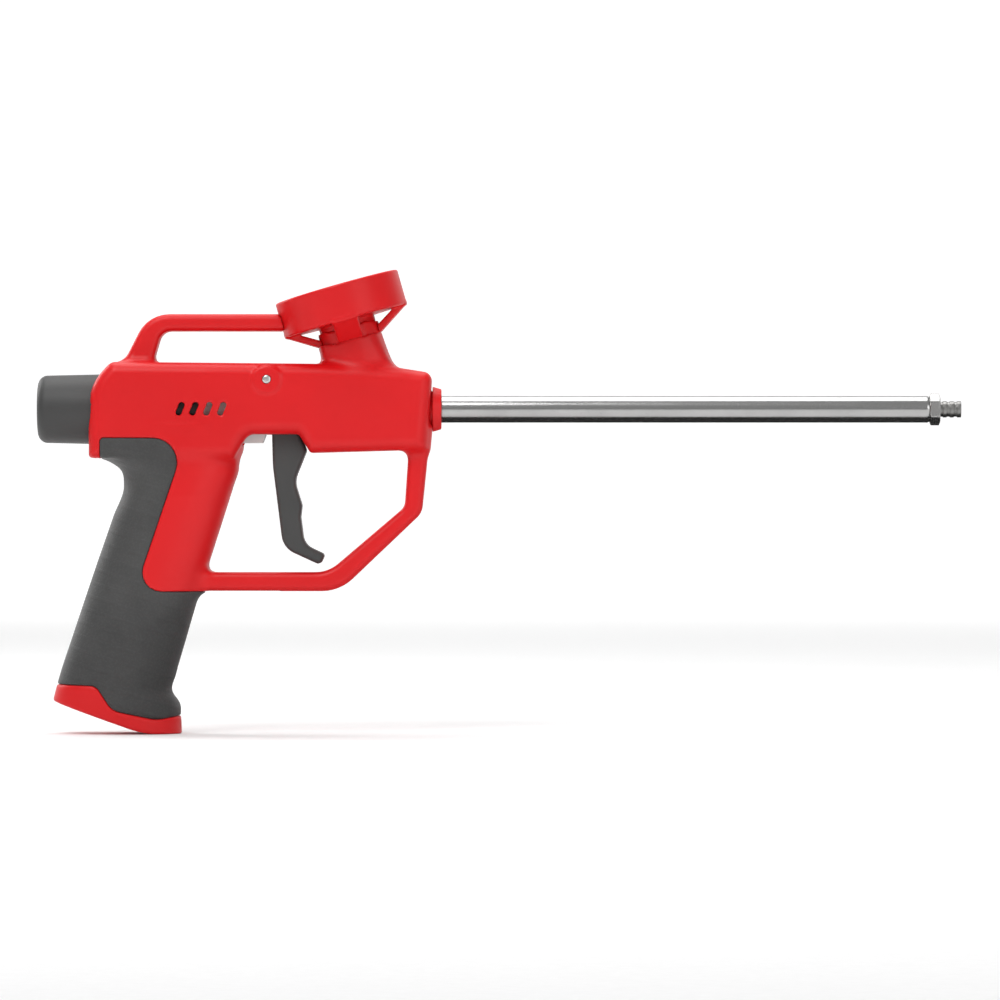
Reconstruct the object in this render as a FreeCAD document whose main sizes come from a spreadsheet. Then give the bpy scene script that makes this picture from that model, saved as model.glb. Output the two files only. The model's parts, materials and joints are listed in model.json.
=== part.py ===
"""Foam and sealant applicator gun: a can screws into the ring on top, the trigger draws a needle back
through the barrel and opens the nozzle, and the knob at the rear sets how far the needle may travel.

Frame: millimetres, origin at the centre of the nozzle's mouth, +X forward out of the nozzle along the
barrel, +Z up, +Y to the left of the person who holds it. The pieces are drawn from the front face of the
nose collar (X runs back from there as negative numbers) or, for what stands on the can's axis, from the
point where that axis crosses the barrel's, and each Placement carries them to the origin.
"""

import FreeCAD
import Part
import Sketcher

import math
import os
import re

# ---------------------------------------------------------------------------------------------------
# Driving dimensions: name, value in millimetres (degrees for angles), what it is
# ---------------------------------------------------------------------------------------------------
SIZES = [
    # barrel and nozzle
    ("barrel_free", 181.0, "barrel from the collar's face to the hexagon"),
    ("barrel_dia", 10.0, "outside of the barrel"),
    ("barrel_wall", 1.1, "barrel wall"),
    ("hex_flats", 10.4, "nozzle hexagon across flats"),
    ("hex_length", 3.9, "nozzle hexagon along the barrel"),
    ("shank_length", 11.0, "nozzle shank inside the barrel"),
    ("barb_length", 7.8, "barbed tip ahead of the hexagon"),
    ("barb_dia", 6.1, "barb across its lands"),
    ("barb_groove", 0.3, "depth of the grooves between the lands"),
    ("land_length", 1.7, "one land of the barb"),
    ("groove_width", 0.9, "one groove of the barb"),
    ("tip_bore", 4.0, "bore of the barbed tip behind its seat"),
    ("tip_shank_dia", 4.8, "shank of the barbed tip in the hexagon"),
    ("mouth_dia", 1.8, "nozzle mouth"),
    ("seat_length", 1.8, "cone of the seat behind the mouth"),
    ("mouth_land", 0.7, "straight mouth ahead of the seat"),
    # needle
    ("needle_dia", 3.0, "needle rod"),
    ("play", 0.1, "free play between pieces that move apart"),
    ("fit_gap", 0.05, "radial gap between pieces that are fitted together"),
    ("nut_flats", 5.5, "needle nuts across flats"),
    ("nut_height", 2.4, "one needle nut"),
    # valve block
    ("chamber_back", 26.0, "can axis behind the collar's face, on the barrel axis"),
    ("block_dia", 17.0, "valve block"),
    ("block_front", 8.0, "front of the valve block"),
    ("block_rear", 44.0, "rear of the valve block"),
    ("socket_depth", 10.0, "barrel inside the valve block"),
    ("chamber_dia", 8.0, "foam chamber"),
    ("packing_dia", 9.0, "packing gland"),
    ("packing_depth", 6.5, "packing gland from the block's rear"),
    ("packing_height", 3.0, "packing ring"),
    ("gland_flats", 11.0, "packing nut across flats"),
    ("gland_head", 3.4, "packing nut's hexagon"),
    ("ring_section", 1.1, "section of the barrel's and nozzle's O-rings"),
    # can side, along the can's axis
    ("can_tilt", 16.0, "can axis leans back from upright, degrees"),
    ("can_ring_dia", 47.0, "outside of the can ring"),
    ("can_ring_wall", 3.3, "wall of the can ring at its thread"),
    ("thread_relief", 0.8, "depth of the relief below that thread"),
    ("thread_length", 5.6, "can ring's thread with its lead-in"),
    ("can_ring_height", 13.3, "height of the can ring"),
    ("ring_base", 34.0, "underside of the ring's floor above the barrel axis"),
    ("floor", 2.2, "floor of the can ring"),
    ("hub_dia", 21.2, "hub under the ring's floor"),
    ("hub_height", 3.0, "hub under the ring's floor"),
    ("arm_width", 9.6, "one arm under the ring"),
    ("arm_drop", 7.5, "foot of an arm below the ring's underside"),
    ("arm_thick", 2.5, "one arm, square to its slope"),
    ("neck_dia", 23.0, "neck of the housing under the ring"),
    ("boss_dia", 16.0, "inlet boss of the valve block"),
    ("boss_top", 24.0, "top of the inlet boss"),
    ("nipple_dia", 14.0, "inlet nipple's body"),
    ("nipple_thread_dia", 10.0, "inlet nipple's thread in the boss"),
    ("nipple_foot", 14.0, "foot of the nipple above the barrel axis"),
    ("nipple_bore", 7.2, "bore of the nipple"),
    ("flange_dia", 18.0, "nipple flange on the ring's floor"),
    ("flange_thick", 1.6, "nipple flange"),
    ("spigot_dia", 12.0, "top spigot of the nipple"),
    ("spigot_height", 3.2, "top spigot above the flange"),
    ("lip_height", 1.6, "lip that keeps the ball in"),
    ("lip_bore", 5.2, "hole in that lip"),
    ("ball_dia", 6.4, "inlet ball"),
    ("seal_height", 2.6, "can seal around the spigot"),
    ("ball_wire", 0.8, "ball spring wire"),
    ("ball_spring_dia", 5.4, "ball spring outside"),
    ("ball_turns", 7, "turns of the ball spring"),
    ("lug_length", 4.8, "lug behind the can ring, in the loop's end"),
    ("lug_width", 5.0, "that lug, across"),
    ("lug_height", 3.4, "that lug, upright"),
    # housing
    ("housing_width", 31.2, "housing over its sides"),
    ("bar_width", 14.0, "loop and guard over their sides"),
    ("wall", 2.4, "housing wall"),
    ("rim_back", 130.2, "rear rim of the housing"),
    ("rim_top_back", 121.9, "rim where it meets the top"),
    ("crown", 4.4, "housing top above the knob"),
    ("tang", 5.2, "housing bottom below the knob, at the rear"),
    ("nose_top", 13.4, "nose top above the barrel axis"),
    ("nose_bottom", 14.9, "nose bottom below the barrel axis"),
    ("nose_chin", 16.2, "nose bottom at the trigger opening"),
    ("chin_back", 48.4, "nose bottom's rear corner"),
    ("gate_front", 52.7, "front of the trigger opening"),
    ("gate_back", 71.5, "rear of the trigger opening"),
    ("gate_top", 9.35, "top of the trigger opening below the axis"),
    ("edge_round", 4.0, "rounding of the housing's side edges"),
    ("bar_round", 2.0, "rounding of the loop's and guard's edges"),
    ("collar_length", 3.3, "nose collar"),
    ("collar_dia", 14.7, "nose collar's face"),
    ("collar_flare", 1.1, "growth in radius of the collar to its rear"),
    ("nose_spigot_dia", 13.2, "spigot of the housing in the collar"),
    ("collar_web", 1.0, "front web of the collar"),
    # loop
    ("loop_top", 35.2, "top of the loop"),
    ("loop_bar", 6.3, "height of the loop's bar"),
    ("loop_heel", 118.2, "foot of the loop's post, outside"),
    ("loop_shoulder", 108.9, "corner of the loop, outside"),
    ("loop_inner", 106.8, "slot's rear end at its bottom"),
    ("loop_inner_top", 103.4, "slot's rear end at its top"),
    ("loop_front", 56.0, "loop bar's front end before the ring's round is cut"),
    # trigger guard
    ("guard_bottom", 67.4, "underside of the guard"),
    ("guard_inside", 60.4, "upper side of the guard's lower bar"),
    ("guard_knee", 38.5, "guard's front knee below the axis"),
    ("guard_knee_back", 7.3, "guard's front knee behind the collar's face"),
    ("guard_toe_back", 37.7, "guard's lower knee behind the collar's face"),
    # grip
    ("grip_width", 32.0, "grip over its sides"),
    ("sleeve_thick", 2.2, "soft sleeve"),
    ("sleeve_top", 10.6, "top of the sleeve below the axis"),
    ("sleeve_lobe", 97.4, "front of the sleeve's upper lobe"),
    ("sleeve_step", 112.9, "sleeve's front boundary where it meets the guard's underside"),
    ("core_foot", 100.0, "foot of the housing's grip core"),
    ("cap_line", 101.8, "top of the butt cap at the rear"),
    ("cap_step", 9.6, "how far the cap's top steps down"),
    ("cap_bottom", 120.0, "underside of the butt cap"),
    ("plug_rise", 7.0, "cap's plug inside the core"),
    # trigger
    ("pivot_back", 64.4, "trigger pin behind the collar's face"),
    ("pivot_rise", 10.9, "trigger pin above the axis"),
    ("pin_dia", 3.0, "trigger pin"),
    ("pin_boss_dia", 9.2, "boss round the pin on the housing's side"),
    ("pin_boss_rise", 0.4, "that boss above the housing's side"),
    ("trigger_width", 15.0, "trigger"),
    ("trigger_round", 1.8, "rounding of the trigger's edges"),
    ("trigger_channel", 10.2, "channel in the trigger's back"),
    ("trigger_gap", 0.6, "side gap between the trigger and its slot"),
    ("rod_slot", 4.4, "slot in the trigger for the needle, across"),
    ("rod_slot_height", 8.4, "slot in the trigger for the needle, upright"),
    # carriage
    ("carriage_dia", 22.4, "needle carriage"),
    ("carriage_bore", 14.0, "spring bore in the carriage"),
    ("carriage_tail", 102.0, "rear end of the carriage"),
    ("carriage_wall", 76.0, "front of the carriage's tube"),
    ("carriage_face", 64.8, "face that the trigger pushes"),
    ("carriage_block", 9.0, "front block of the carriage, across"),
    ("carriage_lip", 12.6, "lip of the carriage below the axis"),
    # regulator
    ("knob_back", 149.7, "rear end of the knob"),
    ("knob_dia", 26.0, "knob"),
    ("knob_front", 114.2, "front end of the knob's skirt"),
    ("knob_floor", 9.0, "rear wall of the knob"),
    ("knob_round", 3.2, "rounding of the knob's rear edge"),
    ("knob_gap", 0.25, "gap between the knob and the housing"),
    ("sleeve_dia", 24.8, "indicator sleeve"),
    ("sleeve_wall", 1.0, "indicator sleeve's wall"),
    ("thread_back", 112.4, "rear of the regulator's thread ring"),
    ("thread_front", 106.4, "front of the regulator's thread ring"),
    ("thread_wall", 1.7, "wall of that ring"),
    ("o_ring_back", 120.0, "O-ring on the knob's skirt"),
    ("o_ring_section", 1.3, "that O-ring's section"),
    ("stop_dia", 6.0, "stop screw"),
    ("stop_front", 87.4, "front end of the stop screw"),
    ("stop_seat", 104.6, "spring seat on the stop screw"),
    ("stop_seat_dia", 13.2, "that seat"),
    ("stop_seat_thick", 1.6, "that seat"),
    ("washer_thick", 0.6, "thrust washer under the spring"),
    ("spring_wire", 1.1, "return spring wire"),
    ("spring_dia", 12.3, "return spring outside"),
    ("spring_turns", 9.0, "turns of the return spring"),
    # indicator windows
    ("window_pitch", 5.13, "from one window to the next"),
    ("window_first", 96.3, "rearmost window's centre"),
    ("window_width", 2.4, "one window"),
    ("window_height", 4.9, "one window"),
    ("window_lean", 1.1, "top of a window ahead of its bottom"),
    ("window_count", 4, "windows"),
    # screws
    ("screw_dia", 3.0, "housing screws"),
    ("screw_head_dia", 5.5, "their heads"),
    ("screw_head", 2.0, "their heads"),
    ("screw_seat", 4.8, "underside of a head from the parting plane"),
    ("screw_bite", 5.9, "thread in the other half"),
    ("tower_dia", 7.0, "screw towers inside the grip"),
]

# Housing screws: name, behind the collar's face, above the barrel axis
SCREWS = [
    ("loop_post", "-(loop_shoulder + 1.9)", "loop_top - 11.3"),
    ("ring_lug",
     "-chamber_back - (ring_base + 1.4) * tan(lean) - (can_ring_dia / 2) / cos(lean) - lug_length - 2.2",
     "loop_top - loop_bar / 2"),
    ("trigger_front", "-(pivot_back - 14.4)", "nose_top - 1.1"),
    ("chin", "-(block_rear - 2)", "-(block_dia / 2 + 3.3)"),
    ("nose", "-(collar_length + 10)", "-(block_dia / 2 + 3.1)"),
    ("guard", "-(guard_toe_back + 37)", "-(guard_bottom + guard_inside) / 2"),
    ("grip_upper", "-(sleeve_lobe - 1.4)", "-(sleeve_top + 28.4)"),
    ("grip_lower", "-(sleeve_step + 1)", "-(core_foot - 14)"),
]

# Cross sections of the grip: below the barrel axis, rear and front edge behind the collar's face
GRIP_SECTIONS = [
    (8.0, 124.6, 70.4),
    (18.4, 123.4, 75.0),
    (22.6, 118.9, 75.2),
    (28.0, 117.8, 76.9),
    (40.0, 121.8, 80.7),
    (55.0, 127.0, 85.5),
    (70.0, 132.1, 90.3),
    (85.0, 137.1, 94.7),
    (98.0, 141.4, 98.4),
    (104.5, 143.2, 99.8),
    (109.0, 144.3, 97.0),
    (113.5, 145.2, 96.6),
    (122.0, 147.2, 96.2),
]

FAR = 200.0  # reach of a cutting block past anything it cuts

document = FreeCAD.newDocument("applicator_gun")
sheet = document.addObject("Spreadsheet::Sheet", "Sizes")
names = {name for name, _, _ in SIZES}
for row, (name, value, meaning) in enumerate(SIZES, 1):
    sheet.set(f"A{row}", name)
    sheet.set(f"B{row}", str(value))
    sheet.set(f"C{row}", meaning)
    sheet.setAlias(f"B{row}", name)
document.recompute()

WORD = re.compile(r"[a-z][a-z_]*")
REACH = "(barrel_free + hex_length + barb_length)"  # nozzle's mouth to the collar's face
pieces = []


def bound(text):
    """An expression in the sheet's names, as FreeCAD reads it. lean is the can's tilt as an angle."""
    text = re.sub(r"\blean\b", "(can_tilt * 1 deg)", text)
    return WORD.sub(lambda word: "Sizes." + word.group(0) if word.group(0) in names else word.group(0),
                    text)


def number(text):
    """The value of an expression, now."""
    value = sheet.evalExpression(bound(text))
    return float(getattr(value, "Value", value))


def bind(thing, **expressions):
    """Binds properties to expressions. Two underscores in a keyword stand for a dot."""
    for key, text in expressions.items():
        thing.setExpression(key.replace("__", "."), bound(text))
    return thing


def finish(label, thing, from_can=False):
    """Gives a sub-part its name and its bound Placement, and keeps it for the check and the export."""
    thing.Label = label
    if from_can:
        thing.Placement = FreeCAD.Placement(
            FreeCAD.Vector(), FreeCAD.Rotation(FreeCAD.Vector(0, -1, 0), number("can_tilt")))
        bind(thing, Placement__Base__x=f"-{REACH} - chamber_back", Placement__Rotation__Angle="can_tilt")
    else:
        bind(thing, Placement__Base__x=f"-{REACH}")
    pieces.append(thing)
    return thing


# ---------------------------------------------------------------------------------------------------
# Sketches
# ---------------------------------------------------------------------------------------------------
def outline(sketch, corners):
    """Draws a closed outline. A corner is (across, up) or (across, up, radius), each an expression, and
    every corner and radius is constrained to its expression, so the sketch has no freedom left."""
    corners = [(*corner, None)[:3] for corner in corners]
    points = [FreeCAD.Vector(number(across), number(up), 0) for across, up, _ in corners]
    radii = [number(radius) if radius else 0.0 for _, _, radius in corners]
    count = len(points)
    starts, ends, centres = [], [], []
    for i, point in enumerate(points):
        before = (points[i - 1] - point).normalize()
        after = (points[(i + 1) % count] - point).normalize()
        half = before.getAngle(after) / 2
        setback = radii[i] / math.tan(half)
        starts.append(point + before * setback)
        ends.append(point + after * setback)
        centres.append(point + (before + after).normalize() * (radii[i] / math.sin(half))
                       if radii[i] else None)
    geometry = [Part.LineSegment(ends[i], starts[(i + 1) % count]) for i in range(count)]
    arcs, marks = {}, {}
    for i, centre in enumerate(centres):
        if centre is None:
            continue
        first = math.atan2(starts[i].y - centre.y, starts[i].x - centre.x)
        last = math.atan2(ends[i].y - centre.y, ends[i].x - centre.x)
        left_turn = (points[i] - points[i - 1]).cross(points[(i + 1) % count] - points[i]).z > 0
        circle = Part.Circle(centre, FreeCAD.Vector(0, 0, 1), radii[i])
        arcs[i] = (len(geometry), left_turn)
        geometry.append(Part.ArcOfCircle(circle, first, last)
                        if left_turn else Part.ArcOfCircle(circle, last, first))
        marks[i] = len(geometry)
        geometry.append(Part.Point(points[i]))
    sketch.addGeometry(geometry, False)
    for mark in marks.values():
        sketch.toggleConstruction(mark)
    rule = Sketcher.Constraint
    rules, bindings = [], []
    for i, (across, up, radius) in enumerate(corners):
        line_in, line_out = (i - 1) % count, i
        if i in arcs:
            arc, left_turn = arcs[i]
            first, last = (1, 2) if left_turn else (2, 1)
            rules += [rule("Tangent", line_in, 2, arc, first), rule("Tangent", arc, last, line_out, 1)]
            rules += [rule("PointOnObject", marks[i], 1, line_in),
                      rule("PointOnObject", marks[i], 1, line_out)]
            bindings.append((len(rules), radius))
            rules.append(rule("Radius", arc, radii[i]))
            corner = (marks[i], 1)
        else:
            rules.append(rule("Coincident", line_in, 2, line_out, 1))
            corner = (line_out, 1)
        bindings += [(len(rules), across), (len(rules) + 1, up)]
        rules += [rule("DistanceX", *corner, points[i].x), rule("DistanceY", *corner, points[i].y)]
    sketch.addConstraint(rules)
    for index, text in bindings:
        sketch.setExpression(f"Constraints[{index}]", bound(text))
    return sketch


def body_sketch(body, corners, role="XZ_Plane", along=None, lean=None):
    """A sketch on one of the body's own origin planes, moved along the plane's first direction and
    leaning with the can's axis, or (for another plane than XZ) lifted off it."""
    sketch = body.newObject("Sketcher::SketchObject", "outline")
    plane = next(feature for feature in body.Origin.OriginFeatures if feature.Role == role)
    sketch.AttachmentSupport = [(plane, "")]
    sketch.MapMode = "FlatFace"
    if along:
        way = "x" if role == "XZ_Plane" else "z"
        sketch.setExpression(f"AttachmentOffset.Base.{way}", bound(along))
    if lean:
        sketch.AttachmentOffset = FreeCAD.Placement(
            FreeCAD.Vector(), FreeCAD.Rotation(FreeCAD.Vector(0, 0, 1), number("can_tilt")))
        sketch.setExpression("AttachmentOffset.Rotation.Angle", bound("can_tilt"))
    return outline(sketch, corners)


def turned(body, corners, axis="H_Axis", cut=False, **where):
    """Turns an outline about the sketch's own axis, as added or as cut material."""
    kind = "PartDesign::Groove" if cut else "PartDesign::Revolution"
    sketch = body_sketch(body, corners, **where)
    feature = body.newObject(kind, "turned")
    feature.Profile = sketch
    feature.ReferenceAxis = (sketch, [axis])
    feature.Angle = 360
    return feature


def thick(body, corners, length, **where):
    """Adds an outline's thickness, half to each side of its plane."""
    sketch = body_sketch(body, corners, **where)
    feature = body.newObject("PartDesign::Pad", "pad")
    feature.Profile = sketch
    feature.Midplane = True
    return bind(feature, Length=length)


def pocket(body, corners, length, **where):
    """Cuts an outline's thickness, half to each side of its plane."""
    sketch = body_sketch(body, corners, **where)
    feature = body.newObject("PartDesign::Pocket", "pocket")
    feature.Profile = sketch
    feature.Midplane = True
    return bind(feature, Length=length)


def new_body():
    """An empty PartDesign body."""
    return document.addObject("PartDesign::Body", "Body")


def turned_piece(label, corners, axis="H_Axis", from_can=False):
    """A piece that is one outline turned about the barrel's or the can's axis."""
    body = new_body()
    turned(body, corners, axis)
    return finish(label, body, from_can)


def hexagon(flats):
    """Corners of a hexagon with a corner to each side, in a sketch that looks along the barrel."""
    tip, shoulder, half = f"{flats} / sqrt(3)", f"{flats} / sqrt(12)", f"{flats} / 2"
    return [(tip, "0"), (shoulder, half), (f"-{shoulder}", half), (f"-{tip}", "0"),
            (f"-{shoulder}", f"-{half}"),
            (shoulder, f"-{half}")]


# ---------------------------------------------------------------------------------------------------
# Shapes of the Part workbench, for the housing and the grip
# ---------------------------------------------------------------------------------------------------
def slab(corners, width):
    """An outline in the XZ plane, with its thickness half to each side."""
    sketch = document.addObject("Sketcher::SketchObject", "outline")
    sketch.Placement = FreeCAD.Placement(
        FreeCAD.Vector(), FreeCAD.Rotation(FreeCAD.Vector(1, 0, 0), 90))
    outline(sketch, corners)
    feature = document.addObject("Part::Extrusion", "slab")
    feature.Base = sketch
    feature.DirMode = "Normal"
    feature.Solid = True
    feature.Symmetric = True
    return bind(feature, LengthFwd=width)


def rounded(solid, radius):
    """Rounds the long edges where a slab's outline meets its two sides."""
    document.recompute()
    side = max(vertex.Y for vertex in solid.Shape.Vertexes)
    size = number(radius)
    edges = [(index, size, size) for index, edge in enumerate(solid.Shape.Edges, 1)
             if all(abs(abs(vertex.Y) - side) < 1e-6 for vertex in edge.Vertexes)
             and abs(edge.Vertexes[0].Y - edge.Vertexes[-1].Y) < 1e-6]
    feature = document.addObject("Part::Fillet", "rounded")
    feature.Base = solid
    feature.Edges = edges
    return feature


def lathe(corners, leaning=False):
    """An outline turned about the barrel's axis, or about the can's."""
    sketch = document.addObject("Sketcher::SketchObject", "outline")
    sketch.Placement = FreeCAD.Placement(
        FreeCAD.Vector(), FreeCAD.Rotation(FreeCAD.Vector(1, 0, 0), 90))
    outline(sketch, corners)
    feature = document.addObject("Part::Revolution", "turned")
    feature.Source = sketch
    feature.Axis = FreeCAD.Vector(0, 0, 1) if leaning else FreeCAD.Vector(1, 0, 0)
    feature.Angle = 360
    feature.Solid = True
    if leaning:
        feature.Placement = FreeCAD.Placement(
            FreeCAD.Vector(), FreeCAD.Rotation(FreeCAD.Vector(0, -1, 0), number("can_tilt")))
        bind(feature, Placement__Base__x="-chamber_back", Placement__Rotation__Angle="can_tilt")
    return feature


def cross_pin(across, up, radius, start, length):
    """A cylinder along +Y from start, for pins, screws and their holes."""
    feature = document.addObject("Part::Cylinder", "cross_pin")
    feature.Placement = FreeCAD.Placement(
        FreeCAD.Vector(), FreeCAD.Rotation(FreeCAD.Vector(1, 0, 0), -90))
    return bind(feature, Radius=radius, Height=length, Placement__Base__x=across, Placement__Base__z=up,
                Placement__Base__y=start)


def joined(*solids):
    """The union of solids."""
    feature = document.addObject("Part::MultiFuse", "joined")
    feature.Shapes = list(solids)
    feature.Refine = True
    return feature


def cut(base, tool):
    """A solid less another."""
    feature = document.addObject("Part::Cut", "cut")
    feature.Base, feature.Tool = base, tool
    return feature


def shared(one, other):
    """What two solids share."""
    feature = document.addObject("Part::Common", "shared")
    feature.Base, feature.Tool = one, other
    return feature


def side_block(side):
    """A block that holds everything on one side of the parting plane: -1 right, 1 left."""
    feature = document.addObject("Part::Box", "side")
    feature.Placement.Base = FreeCAD.Vector(-FAR, 0 if side > 0 else -FAR, -FAR)
    feature.Length, feature.Width, feature.Height = 2 * FAR, FAR, 2 * FAR
    return feature


def grip_loft(inset, first=0, last=None):
    """The grip's oval body, less an inset all round: a loft through its sections, or some of them."""
    sections = []
    for drop, rear, front in GRIP_SECTIONS[first:last]:
        oval = document.addObject("Part::Ellipse", "section")
        bind(oval, MajorRadius=f"({rear} - {front}) / 2 - {inset}",
             MinorRadius=f"grip_width / 2 - {inset}",
             Placement__Base__x=f"-({rear} + {front}) / 2")
        oval.Placement.Base.z = -drop
        sections.append(oval)
    feature = document.addObject("Part::Loft", "grip")
    feature.Sections = sections
    feature.Solid = True
    return feature


# ---------------------------------------------------------------------------------------------------
# Housing, in two halves
# ---------------------------------------------------------------------------------------------------
def housing_outside():
    """Everything that the two halves show outside, as one solid before it is hollowed and parted."""
    top = "knob_dia / 2 + crown"
    bottom = "-(knob_dia / 2 + tang)"
    block = rounded(slab([
        ("-rim_back", bottom),
        ("-rim_back", "9", "20"),
        ("-rim_top_back", top, "4.5"),
        ("-(chin_back - 4.4)", f"{top} - 0.7"),
        ("-(collar_length + 10.6)", "nose_top + 1.6"),
        ("-collar_length", "nose_top", "4.5"),
        ("-(collar_length + 2.3)", "-nose_bottom"),
        ("-chin_back", "-nose_chin"),
        ("-gate_front", "-gate_top", "1.5"),
        ("-gate_back", "-gate_top", "4.5"),
        ("-(gate_back + 5)", bottom),
    ], "housing_width"), "edge_round")
    loop = rounded(slab([
        ("-(loop_heel + 1.2)", "14"),
        ("-loop_shoulder", "loop_top", "11"),
        ("-loop_front", "loop_top"),
        ("-loop_front", "loop_top - loop_bar"),
        ("-loop_inner_top", "loop_top - loop_bar", "4"),
        ("-loop_inner", f"{top} - 0.1", "3"),
        ("-(loop_inner - 11)", f"{top} - 0.1"),
        ("-(loop_inner - 11)", "9"),
        ("-(loop_heel + 1.2)", "9"),
    ], "bar_width"), "bar_round")
    guard = rounded(slab([
        ("-(collar_length + 0.6)", "-6"),
        ("-guard_knee_back", "-guard_knee", "7"),
        ("-guard_toe_back", "-guard_bottom", "16"),
        ("-(sleeve_step - 12)", "-guard_bottom"),
        ("-(sleeve_step - 12)", "-guard_inside"),
        ("-(guard_toe_back + 4)", "-guard_inside", "13"),
        ("-(guard_knee_back + 6.3)", "-(guard_knee - 2.1)", "5"),
        ("-(guard_knee_back + 4.8)", "-(nose_bottom - 0.5)", "3.5"),
        ("-(guard_knee_back + 13)", "-(nose_bottom - 0.5)"),
        ("-(guard_knee_back + 13)", "-8"),
    ], "bar_width"), "bar_round")
    web = slab([
        ("-56", "14"),
        ("-56", f"{top} - 0.75"),
        ("-(chamber_back + 16.7)", f"{top} - 0.7", "3.2"),
        ("-(chamber_back + 19.4)", "26"),
        ("-(chamber_back - 2.4)", "32.2"),
        ("-(chamber_back - 7.7)", "15.3", "3.2"),
        ("-8", "14"),
        ("-8", "12"),
        ("-30", "10"),
    ], "neck_dia * 0.78")
    neck = lathe([("0", "0"), ("neck_dia / 2", "0"), ("neck_dia / 2", "ring_base - hub_height"),
                  ("0", "ring_base - hub_height")], leaning=True)
    boss = cross_pin("-pivot_back", "pivot_rise", "pin_boss_dia / 2",
                     "-(housing_width / 2 + pin_boss_rise)",
                     "housing_width + 2 * pin_boss_rise")
    spigot = lathe([("-(collar_length + 1)", "0"), ("-(collar_length + 1)", "nose_spigot_dia / 2"),
                    ("-(collar_web + play)", "nose_spigot_dia / 2"), ("-(collar_web + play)", "0")])
    return joined(block, neck, web, loop, guard, boss, spigot)


def sleeve_zone():
    """The side view of what the soft sleeve covers, reaching out past the grip."""
    return slab([
        ("-(rim_back - 4.2)", "-sleeve_top", "1"),
        ("-sleeve_lobe", "-sleeve_top", "8"),
        ("-sleeve_lobe", "-(sleeve_top + 11)", "14"),
        ("-sleeve_step", "-guard_bottom", "7"),
        ("-60", "-guard_bottom"),
        ("-60", "-140"),
        ("-170", "-140"),
        ("-170", "-(knob_dia / 2 + tang)"),
        ("-(rim_back - 4.2)", "-(knob_dia / 2 + tang)"),
    ], "grip_width + 20")


def cap_zone(clear, foot):
    """The side view of the butt cap: its top edge, moved up by clear, and a foot below it."""
    return slab([
        ("-152", f"-cap_line + {clear} + 0.3"),
        ("-127.4", f"-(cap_line + 0.5) + {clear}", "4"),
        ("-121.4", f"-(cap_line + cap_step - 0.6) + {clear}", "6"),
        ("-105.2", f"-(cap_line + cap_step + 3.2) + {clear}", "10"),
        ("-90", f"-(cap_line + cap_step) + {clear}"),
        *foot,
    ], "grip_width + 20")


def housing_bores():
    """The round hollows along the barrel's axis: nose, valve block, trigger space, sleeve, knob."""
    return lathe([
        ("0", "0"),
        ("0", "barrel_dia / 2 + play"),
        ("-block_front + fit_gap", "barrel_dia / 2 + play"),
        ("-block_front + fit_gap", "block_dia / 2 + fit_gap"),
        ("-block_rear - fit_gap", "block_dia / 2 + fit_gap"),
        ("-block_rear - fit_gap", "gland_flats / sqrt(3) + 0.4"),
        ("-(block_rear + gland_head + 2)", "gland_flats / sqrt(3) + 0.4"),
        ("-(block_rear + gland_head + 2)", "needle_dia"),
        ("-(carriage_wall - 1)", "needle_dia"),
        ("-(carriage_wall - 1)", "sleeve_dia / 2 + knob_gap"),
        ("-thread_front + play", "sleeve_dia / 2 + knob_gap"),
        ("-thread_front + play", "sleeve_dia / 2 + thread_wall + fit_gap"),
        ("-thread_back - fit_gap", "sleeve_dia / 2 + thread_wall + fit_gap"),
        ("-thread_back - fit_gap", "knob_dia / 2 + knob_gap"),
        ("-(rim_back + 10)", "knob_dia / 2 + knob_gap"),
        ("-(rim_back + 10)", "0"),
    ])


def housing_hollows():
    """Everything that is taken out of both halves."""
    can_bore = lathe([("0", "0"), ("boss_dia / 2 + play", "0"), ("boss_dia / 2 + play", "ring_base"),
                      ("0", "ring_base")], leaning=True)
    ring_room = lathe([
        ("0", "ring_base - hub_height"), ("neck_dia / 2", "ring_base - hub_height"),
        ("neck_dia / 2", "ring_base - arm_drop - 2 * play"),
        ("can_ring_dia / 2 + play", "ring_base - 2 * play"),
        ("can_ring_dia / 2 + play", "ring_base + 40"),
        ("0", "ring_base + 40")], leaning=True)
    trigger_room = slab([
        ("-(carriage_wall + 3)", "pivot_rise + 4.6"),
        ("-(chin_back + 0.6)", "pivot_rise + 4.6"),
        ("-(chin_back + 0.6)", "-(nose_chin + 4)"),
        ("-(gate_back + 2)", "-(nose_chin + 4)"),
        ("-(gate_back + 2)", "-(carriage_lip + 0.8)"),
        ("-(carriage_wall + 3)", "-(carriage_lip + 0.8)"),
    ], "trigger_width + 2 * trigger_gap")
    lug_room = slab([
        (f"{LUG_BACK} - play", "loop_top - (loop_bar - lug_height) / 2 + play"),
        ("-40", "loop_top - (loop_bar - lug_height) / 2 + play"),
        ("-40", "loop_top - (loop_bar + lug_height) / 2 - play"),
        (f"{LUG_BACK} - play", "loop_top - (loop_bar + lug_height) / 2 - play"),
    ], "lug_width + 2 * play")
    grip_room = grip_loft("(sleeve_thick + wall)", first=2)
    towers = joined(*[cross_pin(across, up, "tower_dia / 2", "-20", "40")
                      for name, across, up in SCREWS if name.startswith("grip")])
    return joined(housing_bores(), can_bore, ring_room, trigger_room, lug_room, cut(grip_room, towers))


LUG_BACK = ("-chamber_back - (ring_base + 1.4) * tan(lean) - (can_ring_dia / 2) / cos(lean) - lug_length")


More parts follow.
